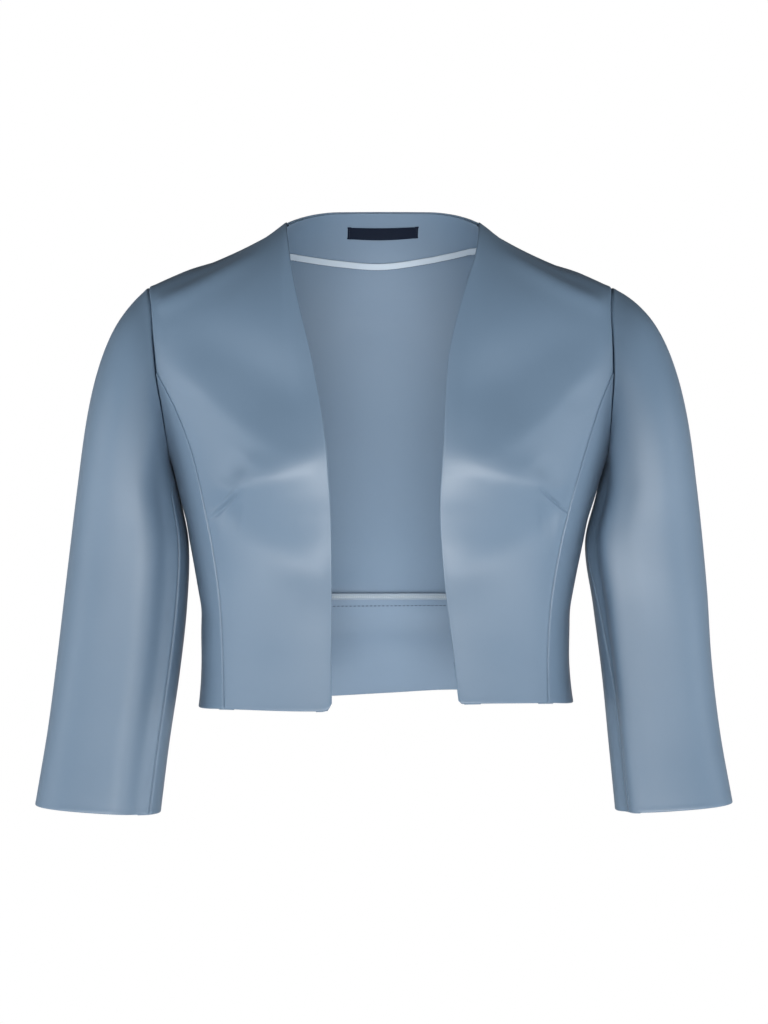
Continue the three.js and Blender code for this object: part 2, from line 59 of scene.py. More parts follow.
@dataclass(frozen=True)
class Table:
    """A smooth line through the rows of a short table.

    Attributes:
        keys: the first column, rising.
        values: the second column.
    """

    keys: tuple[float, ...]
    values: tuple[float, ...]

    def at(self, key: Array | float) -> Array:
        """Read the line, straight on past its ends.

        Args:
            key: where to read it.

        Returns:
            The values there.
        """
        keys = np.asarray(self.keys, float)
        values = np.asarray(self.values, float)
        where = np.asarray(key, float)
        last = len(keys) - 1
        before = np.maximum(np.arange(last + 1) - 1, 0)
        after = np.minimum(np.arange(last + 1) + 1, last)
        slopes = (values[after] - values[before]) / (keys[after] - keys[before])
        i = np.clip(np.searchsorted(keys, where, side="right") - 1, 0, last - 1)
        span = keys[i + 1] - keys[i]
        t = np.clip((where - keys[i]) / span, 0.0, 1.0)
        smooth = (
            (2 * t**3 - 3 * t**2 + 1) * values[i]
            + (t**3 - 2 * t**2 + t) * span * slopes[i]
            + (3 * t**2 - 2 * t**3) * values[i + 1]
            + (t**3 - t**2) * span * slopes[i + 1]
        )
        low = np.minimum(where - keys[0], 0.0) * slopes[0]
        high = np.maximum(where - keys[-1], 0.0) * slopes[-1]
        return smooth + low + high


class Side(Enum):
    """The wearer's right or left."""

    RIGHT = -1
    LEFT = 1

    @property
    def word(self) -> str:
        """Name of the side as the solids use it."""
        return self.name.lower()


class Face(Enum):
    """The front or back of the body."""

    FRONT = -1
    BACK = 1

    @property
    def fullest(self) -> float:
        """Height where this half of the body is deepest."""
        return -205.0 if self is Face.FRONT else -150.0


def mix(a: Array | float, b: Array | float, share: Array | float) -> Array:
    """Blend two values by a share."""
    return a + (b - a) * share


def smooth_step(low: float, high: float, at: Array) -> Array:
    """Rise softly from 0 at low to 1 at high."""
    t = np.clip((at - low) / (high - low), 0.0, 1.0)
    return t * t * (3 - 2 * t)


def unit(vectors: Array) -> Array:
    """Scale each vector to length 1."""
    return vectors / np.maximum(np.linalg.norm(vectors, axis=-1, keepdims=True), 1e-9)


def line_length(points: Array) -> float:
    """Length of a line through points."""
    return float(np.linalg.norm(np.diff(points, axis=0), axis=1).sum())


@dataclass(frozen=True)
class BodyForm:
    """The smooth surface that all body panels are cut from, as the jacket is worn.

    Every table is read by height, but hem, ridge_line and the two neck tables by distance across.

    Attributes:
        girth_roundness: power of the rounded oblong round the body, 2 for an ellipse.
        shoulder_roundness: the same for the way over the shoulders.
        notch_height: where the long seams run into the armhole.
        underarm_height: lowest point of the armhole.
        underarm_curve: power of the curve from there to the notches.
        neck_half_width: distance of the neck points from the middle.
        shoulder_reach: distance of the shoulder tips from the middle.
        bust_rise: how far the bust stands out.
        bust_across: its half width.
        bust_above: its half height above its crest.
        bust_below: its half height below its crest.
        bust_tilt: rise of the crest towards the middle.
        bust_x: distance of its fullest point from the middle.
        bust_z: height of its fullest point.
        dip_depth: sag of the cloth round the shoulder seam, beside the neck.
    """

    girth_roundness: float = 2.3
    shoulder_roundness: float = 2.2
    notch_height: float = -118.0
    underarm_height: float = -190.0
    underarm_curve: float = 2.2
    neck_half_width: float = 82.0
    shoulder_reach: float = 196.0
    bust_rise: float = 8.5
    bust_across: float = 58.0
    bust_above: float = 50.0
    bust_below: float = 60.0
    bust_tilt: float = 0.36
    bust_x: float = 92.0
    bust_z: float = -201.0
    dip_depth: float = 2.6
    hem: Table = Table(
        (-200, -157, -130, -56, 0, 60, 134, 162, 200),
        (-400, -398.6, -396.8, -396.3, -393.6, -390.4, -392, -395.2, -396.5),
    )
    lean: Table = Table(
        (-400, -352, -300, -240, -180, -116, -45, 0, 30),
        (1.8, 1, 1.4, 2.4, 3.6, 0.5, -3.2, -1.5, 0),
    )
    half_width: Table = Table(
        (-412, -380, -352, -310, -272, -240, -205, -190, -150, -116, -80, -45, 60),
        (161, 157.5, 156.5, 158.5, 164.5, 171.5, 180.5, 185, 199, 212, 222, 230, 245),
    )
    front_depth: Table = Table(
        (-412, -396, -372, -345, -330, -300, -265, -240, -222, -205, -188),
        (107.6, 106.7, 105.4, 104.4, 104.1, 103.9, 104.7, 107.8, 110.3, 111.5, 111.2),
    )
    back_depth: Table = Table(
        (-412, -380, -352, -310, -272, -240, -205, -190, -150),
        (85, 84, 84, 87, 91, 95, 98, 99, 100),
    )
    ridge_line: Table = Table(
        (-45, 0, 45, 65, 76, 82, 110, 137, 171, 196, 240),
        (44, 56, 44, 29, 17.5, 10.5, -6, -19, -33, -44.6, -68),
    )
    neck_edge: Table = Table((-40, 0, 40, 51, 65, 76, 82), (25, 26, 25, 23.8, 20.3, 15.3, 10.5))
    neck_facing_edge: Table = Table(
        (-40, 0, 40, 82, 100, 120, 155, 196),
        (-18.5, -22.3, -18.5, -12, -9.5, -13, -38, -66),
    )
    front_edge_right: Table = Table(
        (-400, -380, -340, -290, -240, -202, -155, -110, -85, -50, -22, 0, 10.5),
        (45, 44.7, 44, 44.5, 46, 49.3, 53.7, 59.5, 64, 70.5, 76, 80.5, 82),
    )
    front_edge_left: Table = Table(
        (-400, -380, -340, -290, -240, -202, -155, -110, -85, -50, -22, 0, 10.5),
        (61, 59, 54.3, 47.8, 43.5, 43.7, 47.1, 52.5, 59, 70.5, 79, 81.5, 82),
    )
    front_seam: Table = Table(
        (-400, -372, -342, -305, -265, -236, -211, -183, -148, -118),
        (133.9, 134.1, 134.9, 137.7, 143.9, 150, 155.7, 163.6, 176.2, 190.4),
    )
    back_seam: Table = Table(
        (-400, -372, -342, -305, -265, -236, -211, -183, -148, -118),
        (97, 94, 93, 96, 103, 111, 121, 136, 162, 192),
    )
    front_armhole: Table = Table((-118, -90, -64, -44.6), (190.4, 191.6, 192.8, 196))
    back_armhole: Table = Table((-118, -90, -64, -44.6), (192, 193.5, 194.5, 196))

    def ridge(self, x: Array) -> Array:
        """Height of the shoulder ridge at a distance from the middle line."""
        return self.ridge_line.at(np.abs(x))

    def seam_x(self, face: Face, z: Array) -> Array:
        """Distance of a panel's outer seam from the middle: the long seam, and above it the armhole."""
        front, back = (self.front_seam, self.front_armhole), (self.back_seam, self.back_armhole)
        seam, armhole = front if face is Face.FRONT else back
        return np.where(z < self.notch_height, seam.at(z), armhole.at(z))

    def height(self, face: Face, x: Array, level: Array, hem_rise: Array | float = 0.0) -> Array:
        """Height at a level: 0 is the hem, 1 the fullest height, 2 the shoulder ridge.

        Args:
            face: front or back.
            x: distance from the middle line, with its sign.
            level: how far up.
            hem_rise: how far a rounded corner lifts the hem.

        Returns:
            The heights.
        """
        low = mix(self.hem.at(x) + hem_rise, face.fullest, level)
        rise = np.abs(np.sin(np.clip(level - 1, 0, 1.5) * math.pi / 2)) ** (2 / self.shoulder_roundness)
        return np.where(level < 1, low, face.fullest + rise * (self.ridge(x) - face.fullest))

    def level_of(self, face: Face, x: Array, z: Array) -> Array:
        """Level of a height above the fullest height."""
        rise = np.clip((z - face.fullest) / (self.ridge(x) - face.fullest), 0.0, 1.0)
        return 1 + (2 / math.pi) * np.arcsin(rise ** (self.shoulder_roundness / 2))

    def any_level(self, face: Face, x: Array, z: Array) -> Array:
        """Level of any height, below the fullest height too."""
        hem = self.hem.at(x)
        return np.where(z > face.fullest, self.level_of(face, x, z), (z - hem) / (face.fullest - hem))

    def notch_level(self, face: Face) -> float:
        """Level where the long seam runs into the armhole."""
        z = np.asarray(self.notch_height)
        return float(self.level_of(face, self.seam_x(face, z), z))

    def meet(self, face: Face, sign: Array | float, level: Array, line: Callable[[Array], Array]) -> Array:
        """Distance from the middle at which a level meets a line given by height.

        Args:
            face: front or back.
            sign: side of the body.
            level: the levels.
            line: the line's distance at a height.

        Returns:
            The distances.
        """
        x = line(np.full(np.shape(level), face.fullest))
        for _ in range(12):
            x = line(self.height(face, sign * x, level))
        return x

    def bust(self, x: Array, z: Array) -> Array:
        """How far the bust stands out."""
        crest = self.bust_z + self.bust_tilt * (self.bust_x - np.abs(x))
        tall = np.where(z > crest, self.bust_above, self.bust_below)
        across = (np.abs(x) - self.bust_x) / self.bust_across
        return self.bust_rise * np.exp(-(across**2) - ((z - crest) / tall) ** 2)

    def depth(self, face: Face, z: Array) -> Array:
        """Full depth of the front or back, constant above its fullest height."""
        table = self.front_depth if face is Face.FRONT else self.back_depth
        return table.at(np.minimum(z, face.fullest))

    def point(self, face: Face, x: Array, level: Array, hem_rise: Array | float = 0.0) -> Array:
        """Point of the front or back.

        Args:
            face: front or back.
            x: distance from the middle line, with its sign.
            level: how far up.
            hem_rise: how far a rounded corner lifts the hem.

        Returns:
            The points.
        """
        x, level = np.broadcast_arrays(np.asarray(x, float), np.asarray(level, float))
        z = self.height(face, x, level, hem_rise)
        fall = np.cos(np.clip(level - 1, 0, 1.5) * math.pi / 2)
        deep = self.depth(face, z) * np.sign(fall) * np.abs(fall) ** (2 / self.shoulder_roundness)
        share = np.minimum(np.abs(x) / self.half_width.at(z), 1.0)
        across = (1 - share**self.girth_roundness) ** (1 / self.girth_roundness)
        bust = self.bust(x, z) if face is Face.FRONT else 0.0
        return np.stack([x + self.lean.at(z), face.value * (deep * across + bust), z], axis=-1)

    def shoulder_dip(self, points: Array) -> Array:
        """How far the cloth sags round the shoulder seam, beside the neck."""
        x, y = np.abs(points[..., 0]), points[..., 1]
        beside_neck = smooth_step(84, 104, x) * (1 - smooth_step(132, 168, x))
        ahead = smooth_step(-30, -6, y) * (1 - smooth_step(1, 9, y))
        return -self.dip_depth * beside_neck * ahead

    def side_angle(self, x: Array, z: Array) -> Array:
        """Angle round the body, from the front, of a distance from the middle line."""
        return np.arcsin(np.minimum(x / self.half_width.at(z), 1.0) ** (self.girth_roundness / 2))

    def side_point(self, side: Side, angle: Array, z: Array) -> Array:
        """Point of the body's side.

        Args:
            side: the wearer's right or left.
            angle: angle round the body, from the front.
            z: heights.

        Returns:
            The points.
        """
        x = self.half_width.at(z) * np.abs(np.sin(angle)) ** (2 / self.girth_roundness)
        share = np.abs(np.cos(angle)) ** (2 / self.girth_roundness)
        ys = []
        for face in Face:
            rise = np.clip((z - face.fullest) / (self.ridge(x) - face.fullest), 0.0, 1.0)
            arch = (1 - rise**self.shoulder_roundness) ** (1 / self.shoulder_roundness)
            bust = self.bust(x, z) if face is Face.FRONT else 0.0
            ys.append(face.value * (self.depth(face, z) * arch * share + bust))
        y = np.where(np.cos(angle) > 0, ys[0], ys[1])
        return np.stack([side.value * x + self.lean.at(z), y, z], axis=-1)


BODY = BodyForm()


# Creases, edges and sheets of cloth

DART_WIDTH = 3.0  # creases narrower than this are pressed darts


@dataclass(frozen=True)
class Crease:
    """A soft ridge or trough that runs from one place to another on a panel's chart.

    Attributes:
        start: where it begins, across and up.
        end: where it ends.
        width: half its width.
        height: how far it stands out; a trough is negative.
        bow: how far its middle bends aside.
    """

    start: tuple[float, float]
    end: tuple[float, float]
    width: float
    height: float
    bow: float = 0.0

    def lift(self, across: Array, up: Array) -> Array:
        """How far the crease moves the cloth out.

        Args:
            across: chart distance across.
            up: chart distance up.

        Returns:
            The moves.
        """
        run = np.subtract(self.end, self.start)
        long = float(np.hypot(*run))
        ax, ay = across - self.start[0], up - self.start[1]
        along = (ax * run[0] + ay * run[1]) / long**2
        beside = (run[0] * ay - run[1] * ax) / long
        bend = self.bow * (1 - (2 * along - 1) ** 2)
        fade = np.exp(-((2 * along - 1) ** 4))
        return self.height * fade * np.exp(-(((beside - bend) / self.width) ** 2))


class EdgeKind(Enum):
    """How the cloth ends along a border."""

    TURNED = "rolled over and back along the inside"
    SEAMED = "sunk into a seam, its allowance pressed back inside"


@dataclass(frozen=True)
class Edge:
    """One border of a panel.

    Attributes:
        kind: how the cloth ends.
        allowance: width of the cloth that lies back inside.
        roll: radius of a turned edge.
        sink: depth of a seam's groove.
        tuck: how far the groove's floor reaches under the next panel.
        reach: how far in from the border its own points lie.
        turned_share: share of a turned edge along the border, where the kind changes.
    """

    kind: EdgeKind
    allowance: float
    roll: float = 0.75
    sink: float = 1.5
    tuck: float = 0.08
    reach: float = 6.0
    turned_share: Optional[Callable[[Array], Array]] = None

    def turned(self) -> Array:
        """Stations of a rolled edge, from the hidden end outwards: inset, overshoot, depth."""
        hidden = [(share * self.allowance, 0.0, 2 * self.roll) for share in (1.0, 0.6, 0.25)]
        arc = [
            (0.0, self.roll * math.sin(turn), self.roll * (1 - math.cos(turn)))
            for turn in np.radians((180, 150, 120, 90, 60, 30, 0))
        ]
        near = [
            (share * self.reach, 0.0, lift * self.roll)
            for share, lift in ((0.08, -0.05), (0.2, -0.12), (0.35, -0.08), (0.6, 0.0), (1.0, 0.0))
        ]
        return np.array(hidden + arc + near)

    def seamed(self) -> Array:
        """Stations of a seam's edge, from the hidden end outwards: inset, overshoot, depth."""
        under = self.sink + 0.4
        hidden = [(share * self.allowance, 0.0, under) for share in (1.0, 0.6, 0.25)]
        leg = [(0.4, 0.0, under), (0.0, self.tuck, under - 0.05), (0.0, self.tuck, self.sink)]
        groove = [(0.0, 0.6 * self.tuck, 0.72 * self.sink), (0.2, 0.0, 0.5 * self.sink)]
        lip = [(0.5, 0.0, 0.16 * self.sink), (0.95, 0.0, -0.16), (1.8, 0.0, -0.32)]
        near = [(3.2, 0.0, -0.25), (4.2, 0.0, -0.15), (5.1, 0.0, -0.08), (self.reach, 0.0, -0.04)]
        return np.array(hidden + leg + groove + lip + near)

    def stations(self, along: Array) -> Array:
        """Stations at each place along the border.

        Args:
            along: share of the way along the border.

        Returns:
            An array of station by place by (inset, overshoot, depth).
        """
        if self.turned_share is None:
            share = np.full(np.shape(along), float(self.kind is EdgeKind.TURNED))
        else:
            share = self.turned_share(along)
        return mix(self.seamed()[:, None, :], self.turned()[:, None, :], share[None, :, None])


class ClothSurface(ABC):
    """A surface that a sheet of cloth follows, with a chart for its creases."""

    @abstractmethod
    def point(self, u: Array, v: Array) -> Array:
        """Points of the outer face.

        Args:
            u: share of the way across, 0 to 1.
            v: share of the way up, 0 to 1.

        Returns:
            The points.
        """

    @abstractmethod
    def inside(self, points: Array) -> Array:
        """Places inside the garment that the given points face away from."""

    def chart(self, u: Array, v: Array, points: Array) -> tuple[Array, Array]:
        """Crease chart of body panels: distance from the middle line, and height."""
        return np.abs(points[..., 0] - BODY.lean.at(points[..., 2])), points[..., 2]

    def creases(self) -> tuple[Crease, ...]:
        """Soft folds of this piece."""
        return ()

    def fade(self, u: Array, v: Array) -> Array:
        """Share of a broad fold that is left near the seams."""
        return np.ones(np.broadcast_shapes(np.shape(u), np.shape(v)))

    def lift(self, u: Array, v: Array, points: Array) -> Array:
        """How far all the folds together move the cloth out; darts run on into their seam.

        Args:
            u: share of the way across.
            v: share of the way up.
            points: the surface's points there.

        Returns:
            The moves.
        """
        across, up = self.chart(u, v, points)
        total = np.zeros(np.shape(across))
        fade = self.fade(u, v)
        for crease in self.creases():
            total += crease.lift(across, up) * (fade if crease.width > DART_WIDTH else 1.0)
        return total


@dataclass(frozen=True)
class Focus:
    """Where the points of a mesh draw together.

    Attributes:
        at: share of the way along.
        width: half width of the dense part, as a share.
        gain: how much denser it is, less 1.
    """

    at: float = 0.5
    width: float = 1.0
    gain: float = 0.0

    def spread(self, count: int) -> Array:
        """Shares of the points between two borders, without the borders."""
        fine = np.linspace(0, 1, 2001)
        density = 1 + self.gain * np.exp(-(((fine - self.at) / self.width) ** 2))
        sums = np.concatenate([[0.0], np.cumsum((density[1:] + density[:-1]) / 2)])
        return np.interp(np.linspace(0, 1, count + 2)[1:-1], sums / sums[-1], fine)


@dataclass
class ClothSheet:
    """A sheet of cloth on a surface, with its four edges turned or seamed.

    Attributes:
        name: name of the finished piece.
        surface: what it follows.
        left: border where u is 0.
        right: border where u is 1.
        bottom: border where v is 0.
        top: border where v is 1.
        spacing: distance between the points of the mesh.
        sunk: how far the sheet lies under the surface.
        facing_in: whether the sheet's good side faces the wearer.
        focus_u: where its columns draw together.
        focus_v: where its rows draw together.
    """

    name: str
    surface: ClothSurface
    left: Edge
    right: Edge
    bottom: Edge
    top: Edge
    spacing: float = 3.0
    sunk: float = 0.0
    facing_in: bool = False
    focus_u: Focus = Focus()
    focus_v: Focus = Focus()
    flat_area: float = field(default=0.0, init=False)

    def _tangents(self, u: Array, v: Array) -> tuple[Array, Array, Array]:
        """Unit tangents across and up, and the outward normal."""
        point = self.surface.point
        across = unit(point(u + PROBE, v) - point(u - PROBE, v))
        up = unit(point(u, v + PROBE) - point(u, v - PROBE))
        normal = unit(np.cross(across, up))
        here = point(u, v)
        facing = np.sum(normal * (here - self.surface.inside(here)), axis=-1, keepdims=True)
        return across, up, np.where(facing < 0, -normal, normal)

    def _speed(self, u: Array, v: Array, du: float, dv: float) -> Array:
        """Millimetres of cloth for each unit of u or v."""
        step = 0.01
        moved = self.surface.point(u + step * du, v + step * dv)
        return np.linalg.norm(moved - self.surface.point(u, v), axis=-1) / step

    @staticmethod
    def _axis(
        borders: tuple[Edge, Edge], along: Array, speeds: tuple[Array, Array], inner: Array
    ) -> tuple[Array, Array, Array]:
        """Places, overshoots and depths along one axis.

        Args:
            borders: the borders at 0 and 1.
            along: places along those borders.
            speeds: cloth for each unit at the two borders.
            inner: shares of the points between the borders.

        Returns:
            The shares, the overshoots and the depths, each station by place.
        """
        low, high = borders[0].stations(along), borders[1].stations(along)[::-1]
        start, end = low[..., 0] / speeds[0], 1 - high[..., 0] / speeds[1]
        between = mix(start[-1], end[0], inner[:, None])
        none = np.zeros_like(between)
        over = np.concatenate([-low[..., 1], none, high[..., 1]])
        depth = np.concatenate([low[..., 2], none, high[..., 2]])
        return np.concatenate([start, between, end]), over, depth

    def _grid(self) -> tuple[Array, Array, Array, Array, Array]:
        """Places of the points on the surface.

        Returns:
            The shares across and up, the overshoots across and up, and the depths.
        """
        point, speed = self.surface.point, self._speed
        middle, along = np.array([0.5]), np.linspace(0, 1, 60)
        wide = line_length(point(along, np.full(60, 0.45))) - (self.left.reach + self.right.reach)
        tall = line_length(point(np.full(60, 0.5), along)) - (self.bottom.reach + self.top.reach)
        columns = self.focus_u.spread(max(int(wide / self.spacing), 3))
        rows = self.focus_v.spread(max(int(tall / self.spacing), 3))
        ends = (self.bottom, self.top)
        speeds = (speed(middle, np.array([0.02]), 0, 1), speed(middle, np.array([0.98]), 0, -1))
        v = np.clip(self._axis(ends, middle, speeds, rows)[0][:, 0], 0, 1)
        speeds = (speed(np.zeros_like(v), v, 1, 0), speed(np.ones_like(v), v, -1, 0))
        u, u_over, u_depth = (part.T for part in self._axis((self.left, self.right), v, speeds, columns))
        u_mid = u[len(u) // 2]
        speeds = (speed(u_mid, np.zeros_like(u_mid), 0, 1), speed(u_mid, np.ones_like(u_mid), 0, -1))
        v, v_over, v_depth = self._axis(ends, u_mid, speeds, rows)
        return u, v, u_over, v_over, u_depth + v_depth

    def points(self) -> tuple[Array, Array]:
        """Work out the mesh.

        Returns:
            The points, row by column, and their flat places on the cloth, in millimetres.
        """
        u, v, u_over, v_over, depth = self._grid()
        across, up, normal = self._tangents(u, v)
        base = self.surface.point(u, v)
        move = self.surface.lift(u, v, base) - self.sunk + (depth if self.facing_in else -depth)
        out = base + across * u_over[..., None] + up * v_over[..., None] + normal * move[..., None]
        steps_across = np.linalg.norm(np.diff(out, axis=1), axis=-1)
        steps_up = np.linalg.norm(np.diff(out, axis=0), axis=-1)
        flat_u = np.concatenate([np.zeros((len(out), 1)), np.cumsum(steps_across, axis=1)], axis=1)
        flat_v = np.concatenate([np.zeros((1, out.shape[1])), np.cumsum(steps_up, axis=0)], axis=0)
        flat_u -= flat_u[:, out.shape[1] // 2][:, None]
        self.flat_area = float((steps_across[:-1, :] * steps_up[:, :-1]).sum()) * MM * MM
        return out, np.stack([flat_u, flat_v], axis=-1)

    def build(
        self, thickness: float, face: bpy.types.Material, reverse: bpy.types.Material
    ) -> bpy.types.Object:
        """Make the piece.

        Args:
            thickness: of the cloth, in millimetres.
            face: material of the good side.
            reverse: material of the other side.

        Returns:
            The object.
        """
        points, flat = self.points()
        rows, columns = points.shape[:2]
        bm = bmesh.new()
        bmesh.ops.create_grid(bm, x_segments=columns - 1, y_segments=rows - 1, size=0.5)
        bm.verts.ensure_lookup_table()
        places = [
            (round((vert.co.y + 0.5) * (rows - 1)), round((vert.co.x + 0.5) * (columns - 1)))
            for vert in bm.verts
        ]
        cloth = bm.loops.layers.uv.new("cloth")
        for vert, place in zip(bm.verts, places):
            vert.co = Vector(points[place] * MM)
        for poly in bm.faces:
            poly.smooth = True
            for loop in poly.loops:
                loop[cloth].uv = flat[places[loop.vert.index]] * MM
        bm.normal_update()
        self._face_out(bm, points[rows // 2, columns // 2])
        obj = object_from(bm, self.name)
        obj.data.materials.append(face)
        obj.data.materials.append(reverse)
        shell = obj.modifiers.new("cloth_thickness", "SOLIDIFY")
        shell.thickness = thickness * MM
        shell.offset = -1
        shell.use_even_offset = False
        shell.material_offset = 1
        shell.material_offset_rim = 0
        return obj

    def _face_out(self, bm: bmesh.types.BMesh, middle: Array) -> None:
        """Turn the faces so that the good side faces the right way.

        Args:
            bm: the mesh.
            middle: the point in the middle of the sheet.
        """
        outward = middle - self.surface.inside(middle[None])[0]
        nearest = min(bm.verts, key=lambda vert: (vert.co - Vector(middle * MM)).length_squared)
        if (float(np.dot(np.array(nearest.normal), outward)) < 0) != self.facing_in:
            bmesh.ops.reverse_faces(bm, faces=bm.faces[:])


def object_from(bm: bmesh.types.BMesh, name: str) -> bpy.types.Object:
    """Turn a bmesh into an object of the scene.

    Args:
        bm: the mesh; it is freed.
        name: name of the object.

    Returns:
        The object.
    """
    mesh = bpy.data.meshes.new(name)
    bm.to_mesh(mesh)
    bm.free()
    obj = bpy.data.objects.new(name, mesh)
    bpy.context.scene.collection.objects.link(obj)
    return obj


# Panels


@dataclass(frozen=True)
class BodyPanel(ClothSurface):
    """A panel of the body."""

    def inside(self, points: Array) -> Array:
        """The body's middle, at the height of its chest."""
        return np.broadcast_to(np.array([0.0, 0.0, -230.0]), points.shape)

    def lift(self, u: Array, v: Array, points: Array) -> Array:
        """The folds, and the sag beside the neck."""
        return super().lift(u, v, points) + BODY.shoulder_dip(points)


@dataclass(frozen=True)
class FrontPanel(BodyPanel):
    """A front, from its free edge to the princess seam and the armhole."""

    side: Side
    corner_radius: float

    def point(self, u: Array, v: Array) -> Array:
        """Points of the front; u runs from the free edge outwards."""
        u, v = np.broadcast_arrays(np.asarray(u, float), np.asarray(v, float))
        sign = self.side.value
        edge = BODY.front_edge_right if self.side is Side.RIGHT else BODY.front_edge_left
        level = 2 * v
        at_edge = BODY.meet(Face.FRONT, sign, level, edge.at)
        x = BODY.meet(
            Face.FRONT, sign, level, lambda z: mix(edge.at(z), BODY.seam_x(Face.FRONT, z), u)
        )
        near = np.clip(self.corner_radius - np.maximum(x - at_edge, 0), 0, None)
        rise = self.corner_radius - np.sqrt(np.maximum(self.corner_radius**2 - near**2, 0))
        return BODY.point(Face.FRONT, sign * x, level, rise)

    def creases(self) -> tuple[Crease, ...]:
        """Shoulder roll, chest hollow, bust, dart and the pockets beside it."""
        right = self.side is Side.RIGHT
        seam_end, tip = ((147, -238), (122, -216)) if right else ((150, -235.5), (126, -217.5))
        x, z = tip
        dart = (
            (Crease(seam_end, tip, 1.3, 0.95), Crease((145, -240.5), (120.5, -219), 1.5, -1.3))
            if right
            else (Crease(seam_end, tip, 1.2, -1.7), Crease((150, -239), (127, -221), 1.8, 0.6))
        )
        return (
            Crease((96, -8), (182, -48), 11, -2.6),
            Crease((98, -14), (196, -66), 8.5, 3.4, -4),
            Crease((172, -82), (70, -146), 30, -5.2, -3),
            Crease((168, -122), (88, -186), 10, 0.8, 3),
            Crease((144, -238), (122, -222), 9, -1.4),
            *dart,
            Crease((x + 12, z + 4), (x - 2, z + 24), 11, -2.0 if right else -1.0),
            Crease((x + 1, z - 2), (x - 13, z + 27), 8, 0.6),
            Crease((x + 14, z - 24), (x, z - 26), 11, -1.2 if right else -1.5),
            Crease((x + 12, z - 6), (x - 34, z + 14), 15, 0.9),
            Crease((x + 10, z - 4), (x - 80, z + 34), 15, 1.7),
            Crease((x + 14, z - 10), (x - 72, z - 78), 19, -1.9, 3),
            Crease((112, -276), (98, -352), 24, -1.0, 3 if right else -4),
            Crease((188, -126), (150, -146), 9, -1.0, 2),
            Crease((66, -96), (58, -176), 12, 0.8, 2),
        )

    def fade(self, u: Array, v: Array) -> Array:
        """Folds end at the princess seam, the armhole and the shoulder seam."""
        return smooth_step(0, 0.1, 1 - u) * smooth_step(0, 0.03, 1 - v)


@dataclass(frozen=True)
class SidePanel(BodyPanel):
    """A side panel, from the princess seam round to the side-back seam."""

    side: Side

    def _border(self, face: Face, v: Array) -> Array:
        """Angle and height along one long seam, as two columns."""
        level = v * BODY.notch_level(face)
        x = BODY.meet(face, self.side.value, level, lambda z: BODY.seam_x(face, z))
        z = BODY.height(face, self.side.value * x, level)
        angle = BODY.side_angle(x, z)
        return np.stack([angle if face is Face.FRONT else math.pi - angle, z], axis=-1)

    def point(self, u: Array, v: Array) -> Array:
        """Points of the panel; u runs from the front seam to the back seam.

        Args:
            u: share of the way across.
            v: share of the way up.

        Returns:
            The points, filled in smoothly between the two seams, the hem and the armhole.
        """
        u, v = np.broadcast_arrays(np.asarray(u, float), np.asarray(v, float))
        across, up = u[..., None], v[..., None]
        front, back = (self._border(face, v) for face in Face)
        low = mix(*(self._border(face, np.zeros_like(v)) for face in Face), across)
        tops = [self._border(face, np.ones_like(v)) for face in Face]
        top = mix(*tops, across)

        hem = low.copy()
        out = np.abs(np.sin(hem[..., 0])) ** (2 / BODY.girth_roundness)
        hem_x = BODY.half_width.at(BODY.hem.at(0)) * out
        hem[..., 1] = BODY.hem.at(self.side.value * hem_x)
        armhole, side_line = top.copy(), math.pi / 2
        notch = np.where(armhole[..., :1] < side_line, *tops)
        share = np.abs((armhole[..., 0] - side_line) / (notch[..., 0] - side_line))
        armhole[..., 1] = mix(BODY.underarm_height, notch[..., 1], share**BODY.underarm_curve)
        patch = mix(front, back, across) + mix(hem, armhole, up) - mix(low, top, up)
        return BODY.side_point(self.side, patch[..., 0], patch[..., 1])

    def chart(self, u: Array, v: Array, points: Array) -> tuple[Array, Array]:
        """Depth behind the side line, and height."""
        return points[..., 1], points[..., 2]

    def creases(self) -> tuple[Crease, ...]:
        """Waist drags that cross under the arm."""
        right = self.side is Side.RIGHT
        return (
            Crease((-48, -330), (20, -312), 13, -1.2 if right else -0.8, 3),
            Crease((10, -345), (62, -352), 12, -1.3, -2),
            Crease((-30, -250), (16, -236), 12, -0.9, 2),
            Crease((28, -262), (58, -232), 10, 0.9, 2),
        )

    def fade(self, u: Array, v: Array) -> Array:
        """Folds end at the long seams and the armhole."""
        return smooth_step(0, 0.12, np.minimum(u, 1 - u)) * smooth_step(0, 0.08, 1 - v)


